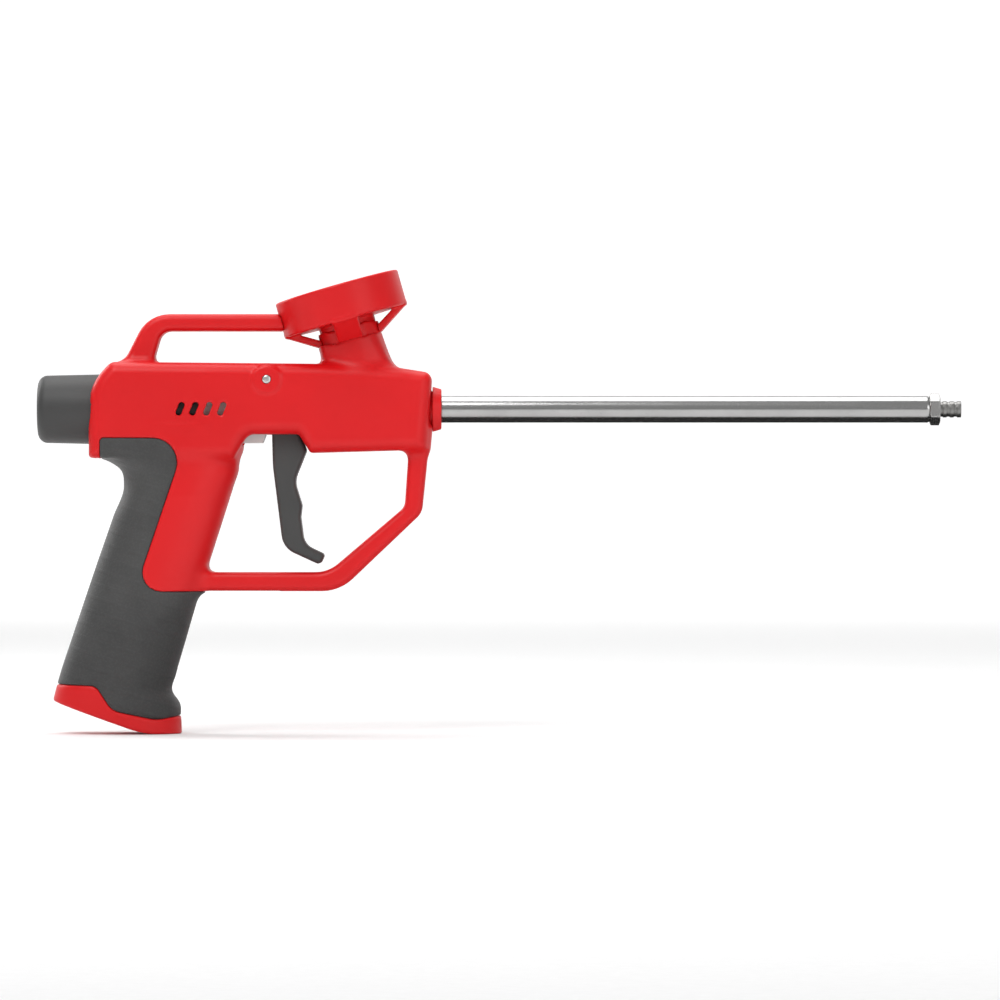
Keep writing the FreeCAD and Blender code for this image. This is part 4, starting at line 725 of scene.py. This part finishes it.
    def outer(self, x: Array, y: Array, z: Array) -> Array:
        """Distance to the whole outer form: block, loop, guard, grip, neck and pin bosses, run together."""
        wider = np.clip((self.taper_from - x) / self.taper_length, 0, 1) ** 0.8
        half = self.nose_half_width + (self.half_width - self.nose_half_width) * wider
        form = slab(self.side("block", x, z), y, half, self.edge)
        form = fused(form, self.grip(x, y, z), 4.0)
        form = fused(form, slab(self.side("loop", x, z), y, self.bar_half_width, self.bar_edge), 3.6)
        form = fused(form, slab(self.side("guard", x, z), y, self.bar_half_width, self.bar_edge), 4.5)
        ahead, along = self.place.can_coordinates(x, z)
        length = np.maximum(along - self.neck_top, -along - 2)
        form = fused(form, shared(np.hypot(ahead, y) - self.neck_radius, length, 0.6), 3.2)
        form = fused(form, slab(self.side("web", x, z), y, self.web_half_width, 3.0), 4.2)
        boss = shared(self.from_pivot(x, z) - self.boss_radius, np.abs(y) - half - self.boss_rise, 0.8)
        form = fused(form, boss, 1.6)
        length = np.maximum(x - self.spigot_front, self.spigot_rear - x)
        return fused(form, shared(np.hypot(y, z) - self.spigot_radius, length, BREAK), 0.8)

    def from_pivot(self, x: Array, z: Array) -> Array:
        """Distance from the trigger's axis."""
        return np.hypot(x - self.pivot[0], z - self.pivot[1])

    def shell(self, x: Array, y: Array, z: Array) -> Array:
        """Distance to the housing before it is parted: the outer form less the sleeve's bed and every bore,
        and less the room over the neck for the can ring and, under it, for the ring's sloping arms."""
        form = self.outer(x, y, z)
        bed = shared(self.side("sleeve", x, z), -(form + self.sleeve_thick), 0.4)
        solid = less(form, bed, 0.5)
        solid = shared(solid, -(z - self.core_foot), 0.4)
        out = np.hypot(y, z)
        for start, end, radius in ((self.knob_room_rear, -112.35, self.knob_bore), *self.bores):
            solid = less(solid, np.maximum(out - radius, np.maximum(start - x, x - end)), BREAK)
        room = np.maximum(self.side("trigger_room", x, z), np.abs(y) - self.trigger_room)
        solid = less(solid, room, 0.5)
        ahead, along = self.place.can_coordinates(x, z)
        across = np.hypot(ahead, y)
        solid = less(solid, np.maximum(across - self.can_bore, -along), BREAK)
        beyond = across - self.ring_room
        solid = less(solid, np.maximum(beyond, self.ring_foot - along), BREAK)
        above = (along - self.arm_foot) * self.arm_level - (across - self.neck_radius) * self.arm_slope
        solid = less(solid, np.maximum(np.maximum(beyond, self.neck_radius - across), -above), BREAK)
        return less(solid, self.from_pivot(x, z) - self.pin_bore, BREAK)

    def right(self, x: Array, y: Array, z: Array) -> Array:
        """The half with the flow windows: four leaning round-ended slots through its wall."""
        solid = self.shell(x, y, z)
        rise = np.clip(z, -self.window_half_height, self.window_half_height)
        for index in range(self.window_count):
            ahead = x - (self.window_first + index * self.window_pitch) - rise * self.window_lean
            slot = np.hypot(ahead, z - rise) - self.window_radius
            solid = less(solid, np.maximum(slot, y - self.window_floor), 0.35)
        return shared(solid, y + self.seam / 2, 0.35)

    def left(self, x: Array, y: Array, z: Array) -> Array:
        """The half that the screws enter, with a round recess over each head."""
        solid = self.shell(x, y, z)
        for across, up in self.screws:
            out = np.hypot(x - across, z - up)
            solid = less(solid, np.maximum(out - self.head_radius, self.head_seat - y), BREAK)
            solid = less(solid, out - self.screw_radius, 0.2)
        return shared(solid, -y + self.seam / 2, 0.35)

    def sleeve(self, x: Array, y: Array, z: Array) -> Array:
        """The soft sleeve: the outer form within its side outline, over the core, above the cap."""
        form = self.outer(x, y, z)
        solid = shared(form, self.side("sleeve", x, z) + self.seam, 0.7)
        solid = less(solid, form + self.sleeve_thick - self.seam, 0.2)
        solid = less(solid, self.side("cap_room", x, z) - self.seam, 0.7)
        solid = shared(solid, -(z - self.sleeve_foot), BREAK)
        knob = np.maximum(np.hypot(y, z) - self.knob_bore - 0.1, self.knob_room_rear - x)
        return less(solid, knob, BREAK)

    def cap(self, x: Array, y: Array, z: Array) -> Array:
        """The butt cap: the grip's form within the cap's side outline."""
        return shared(self.grip(x, y, z), self.side("cap", x, z), 0.9)

    def build(self) -> None:
        """Makes the two halves, the sleeve and the cap."""
        for name, shape, low, high, finish, slot in (
            ("right_housing_skin", self.right, (-144, -17, -101), (-1, 0.3, 37), RED_SHELL, "housing"),
            ("left_housing_skin", self.left, (-144, -0.3, -101), (-1, 17, 37), RED_SHELL, "housing"),
            ("grip_sleeve_skin", self.sleeve, (-148, -17.2, -122), (-88, 17.2, -9), GRIP, "grip_sleeve"),
            ("butt_cap_skin", self.cap, (-149, -17, -122), (-92, 17, -99), RED_CAP, "butt_cap"),
        ):
            points, quads = level_set(shape, low, high, self.step)
            piece(name, self.place.on_barrel(points), quads, finish, "gun",
                  name.removesuffix("_skin"), math.radians(50))


# ---- Can side ----
@dataclass
class CanSide:
    """The ring that a can screws into, with its thread, arms, hub and rear lug."""

    place: Place
    radius: float = 23.5
    base: float = 34.0
    top: float = 47.3
    floor: float = 36.2
    thread_radius: float = 20.2
    thread_depth: float = 0.75
    thread_pitch: float = 2.2
    thread_from: float = 41.7
    hub_radius: float = 10.6
    hub_foot: float = 31.05
    hub_top: float = 35.0
    nipple_radius: float = 7.05
    arm_width: float = 9.6
    arm_drop: float = 7.5
    neck_radius: float = 11.6
    arm_thick: float = 2.5
    lug: tuple = (-65.4, -46.0, 30.35, 33.75, 2.5)
    step: float = 0.42

    def ring(self, ahead: Array, y: Array, along: Array) -> Array:
        """Distance to the ring, in the can's drawing. The thread is a groove whose depth follows a
        rounded saw along (height - turn / 2 pi x pitch), fading out at both ends of its length."""
        out, turn = np.hypot(ahead, y), np.arctan2(y, ahead)
        disc = shared(out - self.radius, np.maximum(along - self.top, self.base - along), 0.9)
        phase = (along / self.thread_pitch - turn / math.tau) * math.tau
        ridge = 0.5 + 0.5 * np.cos(phase)
        fade = (np.clip((along - self.thread_from + 0.4) / 0.8, 0, 1)
                * np.clip((self.top - 0.5 - along) / 0.8, 0, 1))
        inner = self.thread_radius + self.thread_depth * (1 - fade * ridge**1.5)
        cup = np.maximum((out - inner) * 0.8, self.floor - along)
        solid = less(disc, cup, 0.5)
        hub = shared(out - self.hub_radius, np.maximum(along - self.hub_top, self.hub_foot - along), 0.6)
        solid = fused(solid, hub, 1.2)
        run = self.radius - self.neck_radius
        slope = self.arm_drop / math.hypot(run, self.arm_drop)
        level = run / math.hypot(run, self.arm_drop)
        depth = (along - self.base) * level + (self.radius - out) * slope
        plate = np.maximum(np.abs(depth - self.arm_thick / 2) - self.arm_thick / 2,
                           np.maximum(self.neck_radius - out, along - self.base - 1))
        plate = np.maximum(plate, out - self.radius + 0.25)
        narrow = np.minimum(np.abs(ahead), np.abs(y)) - self.arm_width / 2
        solid = fused(solid, shared(plate, narrow, 0.8), 1.0)
        rear, front, low, high, half = self.lug
        x = self.place.can_x + ahead * self.place.lean_z + along * self.place.lean_x
        z = along * self.place.lean_z - ahead * self.place.lean_x
        bar = np.maximum(np.maximum(rear - x, x - front), np.maximum(low - z, z - high))
        bar = shared(bar, np.abs(y) - half, 0.5)
        solid = fused(solid, np.maximum(bar, self.radius - 1 - out), 0.8)
        return less(solid, out - self.nipple_radius, BREAK)

    def build(self) -> None:
        """Makes the ring."""
        reach = self.radius + 0.6
        points, quads = level_set(self.ring, (-36, -reach, 14), (reach, reach, self.top + 0.6), self.step)
        piece("can_ring_skin", self.place.on_can(points), quads, RED_SHELL, "gun", "can_ring",
              math.radians(40))


# ---- Barrel line ----
@dataclass
class BarrelLine:
    """Nose collar, barrel, hexagon adapter and barbed tip."""

    place: Place
    barrel_radius: float = 5.0
    barrel_bore: float = 3.9
    barrel_rear: float = -17.9
    barrel_front: float = 181.0
    collar_rear: float = -3.3
    collar_radii: tuple = (8.42, 7.45)
    hex_flats: float = 10.4
    hex_length: float = 3.9
    shank: float = 10.9
    shank_radius: float = 3.8
    shank_bore: float = 2.5
    chamfer_radius: float = 5.05
    chamfer: float = 0.5
    barb_radius: float = 3.05
    groove_depth: float = 0.3
    land: float = 1.7
    groove: float = 0.9
    mouth: float = 192.7
    mouth_radius: float = 0.9

    def collar(self) -> None:
        """The tapered ring round the barrel: a cone with a rounded rim and a dished face, carried round
        the axis."""
        rear, face = self.collar_radii
        profile = rounded_corners([
            (self.collar_rear, 6.66), (self.collar_rear, rear, 0.3), (0.0, face, 0.55), (0.0, 6.1, 0.3),
            (-0.35, 5.5, 0.3), (-0.7, 5.1), (-1.0, 5.1), (-1.0, 6.66)])
        self.lathe("nose_collar_skin", profile, RED_SHELL, "nose_collar", 128)

    def barrel(self) -> None:
        """The tube, with its front edge rolled over onto the adapter."""
        front = self.barrel_front
        profile = rounded_corners([
            (self.barrel_rear, self.barrel_bore), (self.barrel_rear, self.barrel_radius, 0.3),
            (front - 0.9, self.barrel_radius, 1.2), (front, self.barrel_radius - 0.32, 0.2),
            (front, self.barrel_bore)], 9)
        self.lathe("barrel_skin", profile, NICKEL, "barrel_tube", 144)

    def hexagon(self, profile: Array, angle: Array) -> Array:
        """The radius of a chamfered hexagon: the lesser of the profile's and half the flats over the
        cosine of the angle from the nearest flat's middle; corners eased by a fine blend."""
        from_flat = (angle + math.pi / 6) % (math.pi / 3) - math.pi / 6
        own = profile[:, 1:2]
        return np.where(own > 4.5, fused(own, self.hex_flats / 2 / np.cos(from_flat), BREAK), own)

    def adapter(self) -> None:
        """The hexagon, a corner toward each side, with both its ends chamfered by cones."""
        start, front = self.barrel_front + 0.01, self.barrel_front + self.hex_length
        corner = self.hex_flats / math.sqrt(3) + 0.1
        steps = np.linspace(0, 1, 7)[:, None]
        cone = np.array([[self.chamfer, corner - self.chamfer_radius]])
        rise = np.array([[start, self.chamfer_radius]]) + steps * cone
        fall = np.array([[front - self.chamfer, corner]]) + steps * cone * [[1, -1]]
        middle = np.stack([np.linspace(self.barrel_front + 0.6, front - 0.6, 5), np.full(5, corner)], -1)
        rear = self.barrel_front - self.shank
        profile = np.vstack([[[rear, self.shank_bore], [rear, self.shank_radius], [start, self.shank_radius]],
                             rise, middle, fall, [[front, self.shank_bore]]])
        self.lathe("nozzle_adapter_skin", profile, TURNED, "nozzle_adapter", 192, self.hexagon,
                   math.radians(24))

    def tip(self) -> None:
        """The barbed tip: three lands with grooves between them, a dished mouth and its bore."""
        rear = self.barrel_front + self.hex_length
        low = self.barb_radius - self.groove_depth
        corners = [(self.barrel_front - 11, 2.0), (self.barrel_front - 11, 2.38), (rear, 2.38),
                   (rear, low + 0.05)]
        for index in (3, 2, 1):
            start = self.mouth - index * self.land - (index - 1) * self.groove
            end = start + self.land
            corners += [(start, low, 0.12), (start + 0.16, self.barb_radius, 0.12)]
            corners += [(end - 0.16 * (index > 1), self.barb_radius, 0.14)]
            corners += [(end + 0.02, low, 0.12)] if index > 1 else []
        corners += [(self.mouth, 1.5, 0.2), (self.mouth - 0.35, self.mouth_radius),
                    (self.mouth - 0.7, self.mouth_radius), (self.mouth - 2.5, 2.0)]
        self.lathe("nozzle_tip_skin", rounded_corners(corners, 5), DULL_STEEL, "nozzle_tip", 128)

    def lathe(self, name: str, profile: Array, finish: Finish, node: str, around: int,
              radius: Optional[Callable[[Array, Array], Array]] = None, crease: float = CREASE) -> None:
        """Makes a closed turned piece that stands for a CAD node of the gun's body."""
        points = turned(profile, around, radius)
        piece(name, self.place.on_barrel(points), grid_faces(points, True, True), finish, "gun",
              node, crease)

    def build(self) -> None:
        """Makes the four pieces."""
        self.collar()
        self.barrel()
        self.adapter()
        self.tip()


# ---- Trigger ----
@dataclass
class TriggerGroup:
    """The trigger, channelled behind, forked over the needle, and the pin that it turns on."""

    place: Place
    pivot: tuple = (-64.4, 10.9)
    half_width: float = 7.5
    channel: float = 5.1
    edge: float = 1.7
    rod_slot: tuple = (2.4, 4.2)
    pin_radius: float = 1.5
    pin_half: float = 16.05
    step: float = 0.36

    def __post_init__(self) -> None:
        """Draws the trigger's outline and its channel's."""
        back, rise = self.pivot
        self.outline = rounded_corners([
            (back + 1.6, -6), (back + 2.0, -21, 40), (back + 5.8, -51.4, 8), (back + 19.5, -57.7, 1.6),
            (back + 21.4, -53.8, 1.3), (back + 13.6, -50.1, 6), (back + 12.3, -40), (back + 12.8, -35.6, 2),
            (back + 10.0, -26.6, 8), (back + 14.5, -15.4, 1.8), (back + 12.6, -10, 3), (back + 9.6, -6.5, 3),
            (back + 8.6, rise - 4), (back + 5.2, rise + 4.3, 3.5), (back - 4.4, rise + 4.3, 4),
            (back - 4.4, rise - 4.6, 2), (back + 1.9, rise - 4.9), (back - 0.45, 0, 3)], 9)
        self.hollow = rounded_corners([
            (back - 14, -7.5), (back + 7.4, -7.5, 1.2), (back + 7.0, -26, 10), (back + 9.2, -37, 8),
            (back + 9.6, -46, 4), (back + 10.4, -49, 3), (back + 7, -62), (back - 14, -62)])

    def form(self, x: Array, y: Array, z: Array) -> Array:
        """Distance to the trigger: its outline across its width, less channel, rod slot and pivot."""
        side = outline_distance(self.outline, x, z)
        below = np.clip((-4 - z) / 6, 0, 1)
        solid = slab(side, y, self.half_width, 0.5 + (self.edge - 0.5) * below)
        channel = shared(outline_distance(self.hollow, x, z), np.abs(y) - self.channel, 1.2)
        solid = less(solid, channel, 0.5)
        width, height = self.rod_slot
        solid = less(solid, np.maximum(np.abs(y) - width, np.abs(z) - height), 0.3)
        return less(solid, np.hypot(x - self.pivot[0], z - self.pivot[1]) - self.pin_radius - 0.05, 0.2)

    def build(self) -> None:
        """Makes the trigger and the pin."""
        points, quads = level_set(self.form, (-70.5, -7.9, -59), (-41.5, 7.9, 16.5), self.step)
        piece("trigger_skin", self.place.on_barrel(points), quads, CHARCOAL, "trigger",
              "trigger", math.radians(45))
        end, radius = self.pin_half, self.pin_radius
        profile = np.array([(-end, 0.0), (-end, 0.7), (-end + 0.05, radius - 0.3), (-end + 0.3, radius),
                            (end - 0.3, radius), (end - 0.05, radius - 0.3), (end, 0.7), (end, 0.0)])
        ring = turned(profile, 48)
        points = np.stack([ring[..., 1] + self.pivot[0], ring[..., 0], ring[..., 2] + self.pivot[1]], -1)
        piece("trigger_pin_skin", self.place.on_barrel(points), grid_faces(points, False, True), ZINC, "gun",
              "trigger_pin")


# ---- Flow regulator ----
@dataclass
class Regulator:
    """The knob at the rear: drafted, with one groove near the housing and a dished end."""

    place: Place
    rear: float = -149.7
    front: float = -114.2
    radius: float = 13.0
    round: float = 3.6
    skirt: float = 11.25
    groove: tuple = (-122.3, -120.4)

    def build(self) -> None:
        """Makes the knob: a profile round the axis."""
        drafted, deep = self.radius - 0.55, self.radius - 1.0
        rear, front = self.groove
        profile = rounded_corners([
            (self.rear + 0.9, 3.05), (self.rear + 0.9, 4.3, 0.3), (self.rear, 5.0, 0.6),
            (self.rear + 0.05, 8.0, 30), (self.rear + 0.4, drafted, self.round), (-124.2, self.radius, 40),
            (rear, self.radius), (rear, deep), (front, deep), (front, self.radius),
            (self.front, self.radius, 0.4), (self.front, self.skirt, 0.2), (self.rear + 4.5, self.skirt),
            (self.rear + 4.5, 3.05)], 9)
        points = turned(profile, 160)
        piece("regulator_knob_skin", self.place.on_barrel(points), grid_faces(points, True, True), CHARCOAL,
              "regulator", "regulator_knob")


@dataclass
class Springs:
    """The two coil springs; the return spring is made in two halves."""

    place: Place
    return_wire: float = 1.1
    return_radius: float = 5.6
    return_turns: float = 9.0
    ball_wire: float = 0.8
    ball_radius: float = 2.3
    ball_turns: float = 7.0

    def build(self) -> None:
        """Makes the return spring's two halves and the ball's spring."""
        ends = [(corner.x - self.place.nose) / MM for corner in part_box("return_spring")]
        self.return_half("return_spring_rear", ends, (0.0, 0.5))
        self.return_half("return_spring_front", ends, (0.5, 1.0))
        mesh = frame["nodes"]["inlet_ball_spring"].data
        corners = np.empty(3 * len(mesh.vertices))
        mesh.vertices.foreach_get("co", corners)
        corners = (corners.reshape(-1, 3) - [self.place.nose, 0, 0]) / MM
        _, along = self.place.can_coordinates(corners[:, 0], corners[:, 2])
        low, high = along.min(), along.max()
        wire = coil(low, high, self.ball_radius, self.ball_wire, self.ball_turns, (0.0, 1.0))
        points = self.place.on_can(np.stack([wire[..., 1], wire[..., 2], wire[..., 0]], -1))
        spring = piece("inlet_ball_spring_coil", points, grid_faces(points, False, True), ZINC, None,
                       "inlet_ball_spring")
        foot, top = self.place.on_can(np.array([[0, 0, low], [0, 0, high]]))
        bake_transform(spring)

    def return_half(self, name: str, ends: list[float], share: tuple[float, float]) -> None:
        """Makes half of the return spring, its transform baked into its mesh.

        Args:
            name: the piece's name.
            ends: the spring's rear and front along the barrel.
            share: the half's beginning and end, as shares of the helix.
        """
        wire = coil(*ends, self.return_radius, self.return_wire, self.return_turns, share)
        points = self.place.on_barrel(wire)
        half = piece(name, points, grid_faces(points, False, True), ZINC, None,
                     "return_spring")
        middle, outer = sum(ends) / 2, ends[0] if share[0] == 0 else ends[1]
        start, end = self.place.on_barrel(np.array([[middle, 0, 0], [outer, 0, 0]]))
        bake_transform(half)


# ---- Carried-over pieces and the studio ----
class Works:
    """The pieces inside, which keep the CAD's own shapes and are given their finishes."""

    finishes: dict[Finish, tuple[str, ...]] = {
        RUBBER: ("barrel_o_ring", "nozzle_o_ring", "can_seal", "regulator_o_ring"),
        ZINC: ("needle_rod", "needle_nuts", "stop_screw", "thrust_washer", "housing_screws"),
        BRASS: ("packing_nut", "inlet_nipple", "regulator_thread_ring"),
        SEALANT_RING: ("packing_ring",), CASTING: ("valve_block",), NICKEL: ("inlet_ball",),
        PALE_ACETAL: ("needle_carriage",), INK_ACETAL: ("indicator_sleeve",),
    }

    def dress(self) -> None:
        """Puts each finish on its nodes."""
        for finish, names in self.finishes.items():
            for name in names:
                materials = frame["nodes"][name].data.materials
                if not materials:
                    materials.append(None)
                for index in range(len(materials)):
                    materials[index] = finish.material()
                log.info("%-24s keeps its mesh, as %s", name, finish.name)


@dataclass(frozen=True)
class Paper(Finish):
    """The studio's paper, lit from behind where it rises."""

    lit_from: float = 0.5
    lit_to: float = 3.2
    glow: float = 0.0

    def build(self, graph: Graph) -> bpy.types.Material:
        """A flat colour with the faintest tooth; its own light grows with the distance behind the object."""
        tooth = graph.noise(420.0, 3.0)
        behind = graph.add("ShaderNodeSeparateXYZ", {}, {0: graph.place()}, "Y")
        lit = graph.spread(behind, self.lit_from, self.lit_to, self.glow)
        graph.set(Base_Color=graph.between(tooth, self.dark, self.light), Roughness=0.9)
        graph.set(Emission_Color=graph.between(lit, (0.0, 0.0, 0.0), (1.0, 1.0, 1.0)),
                  Emission_Strength=1.0)
        return graph.result


@dataclass
class Studio:
    """Backdrop, lights and camera."""

    place: Place
    aim: tuple = (21.7, -33.65)
    distance: float = 2.5
    lens: float = 242.6
    wall: float = 3.5
    bend: float = 0.9
    reach: float = 4.5
    height: float = 4.0
    flag_x: tuple = (-0.30, 0.30)
    flag_y: tuple = (-0.05, 0.30)
    air: float = 0.37
    lights: tuple = (
        ("key", (-0.55, -1.10, 1.25), 0.8, 13.5),
        ("fill", (0.95, -1.25, 0.45), 1.0, 4.2),
        ("top", (-0.10, 0.25, 1.35), 1.3, 14.0),
        ("rim", (-1.05, 0.75, 0.55), 0.7, 5.0),
    )

    def sweep(self) -> None:
        """Floor and wall in one sheet: flat, a quarter turn, and up."""
        across = np.linspace(-self.reach, self.reach, 25)
        bend = np.linspace(0, math.pi / 2, 18)[1:]
        foot = self.wall - self.bend
        run = np.concatenate([np.linspace(-self.reach, foot, 28), foot + self.bend * np.sin(bend),
                              np.full(12, self.wall)])
        rise = np.concatenate([np.zeros(28), self.bend - self.bend * np.cos(bend),
                               np.linspace(self.bend + 0.1, self.height, 12)])
        self.sheet("sweep", across, run, rise, Paper("sweep_paper", (0.80, 0.80, 0.80), (0.86, 0.86, 0.86),
                                                     glow=0.58))

    def flag(self) -> None:
        """A black card on the floor under the barrel, which only the metal's reflections see."""
        away = np.linspace(*self.flag_y, 7)
        card = self.sheet("reflection_flag", np.linspace(*self.flag_x, 9), away, 0 * away + 0.004,
                          Paper("black_card", (0.012, 0.012, 0.012), (0.02, 0.02, 0.02)))
        card.visible_camera = card.visible_diffuse = card.visible_shadow = False

    def sheet(self, name: str, across: Array, run: Array, rise: Array, paper: Paper) -> bpy.types.Object:
        """Makes one open sheet that is no part of the object.

        Args:
            name: the sheet's name.
            across: where its rows lie along X.
            run: the section's Y.
            rise: the section's height above the object's lowest point.
            paper: its finish.

        Returns:
            The sheet.
        """
        row = np.stack([0 * run, run, rise + measured()[0][2]], -1)
        points = across[:, None, None] * np.array([1, 0, 0]) + row
        mesh = bpy.data.meshes.new(name)
        mesh.from_pydata(points.reshape(-1, 3).tolist(), [], grid_faces(points, False, False).tolist())
        mesh.shade_smooth()
        thing = bpy.data.objects.new(name, mesh)
        bpy.context.scene.collection.objects.link(thing)
        mesh.materials.append(paper.material())
        thing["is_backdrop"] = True
        return thing

    def build(self) -> None:
        """Makes the backdrop, the lights and the camera."""
        self.sweep()
        self.flag()
        target = Vector((self.aim[0] * MM + self.place.nose, 0.0, self.aim[1] * MM))
        scene = bpy.context.scene
        for name, spot, size, power in self.lights:
            lamp = bpy.data.lights.new(name, "AREA")
            lamp.shape, lamp.size, lamp.energy = "DISK", size, power
            holder = bpy.data.objects.new(name, lamp)
            holder.location = target + Vector(spot)
            holder.rotation_euler = (target - holder.location).to_track_quat("-Z", "Y").to_euler()
            scene.collection.objects.link(holder)
        world = bpy.data.worlds.new("studio_air")
        world.use_nodes = True
        air = world.node_tree.nodes["Background"].inputs
        air["Color"].default_value = (1.0, 1.0, 1.0, 1.0)
        air["Strength"].default_value = self.air
        scene.world = world
        lens = bpy.data.cameras.new("camera")
        lens.lens, lens.sensor_width = self.lens, 36.0
        camera = bpy.data.objects.new("camera", lens)
        camera.location = target + Vector((0.0, -self.distance, 0.0))
        camera.rotation_euler = (math.radians(90), 0.0, 0.0)
        scene.collection.objects.link(camera)
        scene.camera = camera
        scene.view_settings.view_transform = "Standard"


def measured() -> list:
    """The object's present box as plain lists."""
    return [list(corner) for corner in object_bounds()]


def main() -> None:
    """Builds the whole look and notes the object's size after it."""
    logging.basicConfig(level=logging.INFO, format="%(message)s")
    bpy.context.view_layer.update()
    place = Place()
    for group in (Shell(place), CanSide(place), BarrelLine(place), TriggerGroup(place), Regulator(place),
                  Springs(place), Studio(place)):
        group.build()
    Works().dress()
    log.info("size: %s", json.dumps(measured()))


if __name__ == "__main__":
    main()
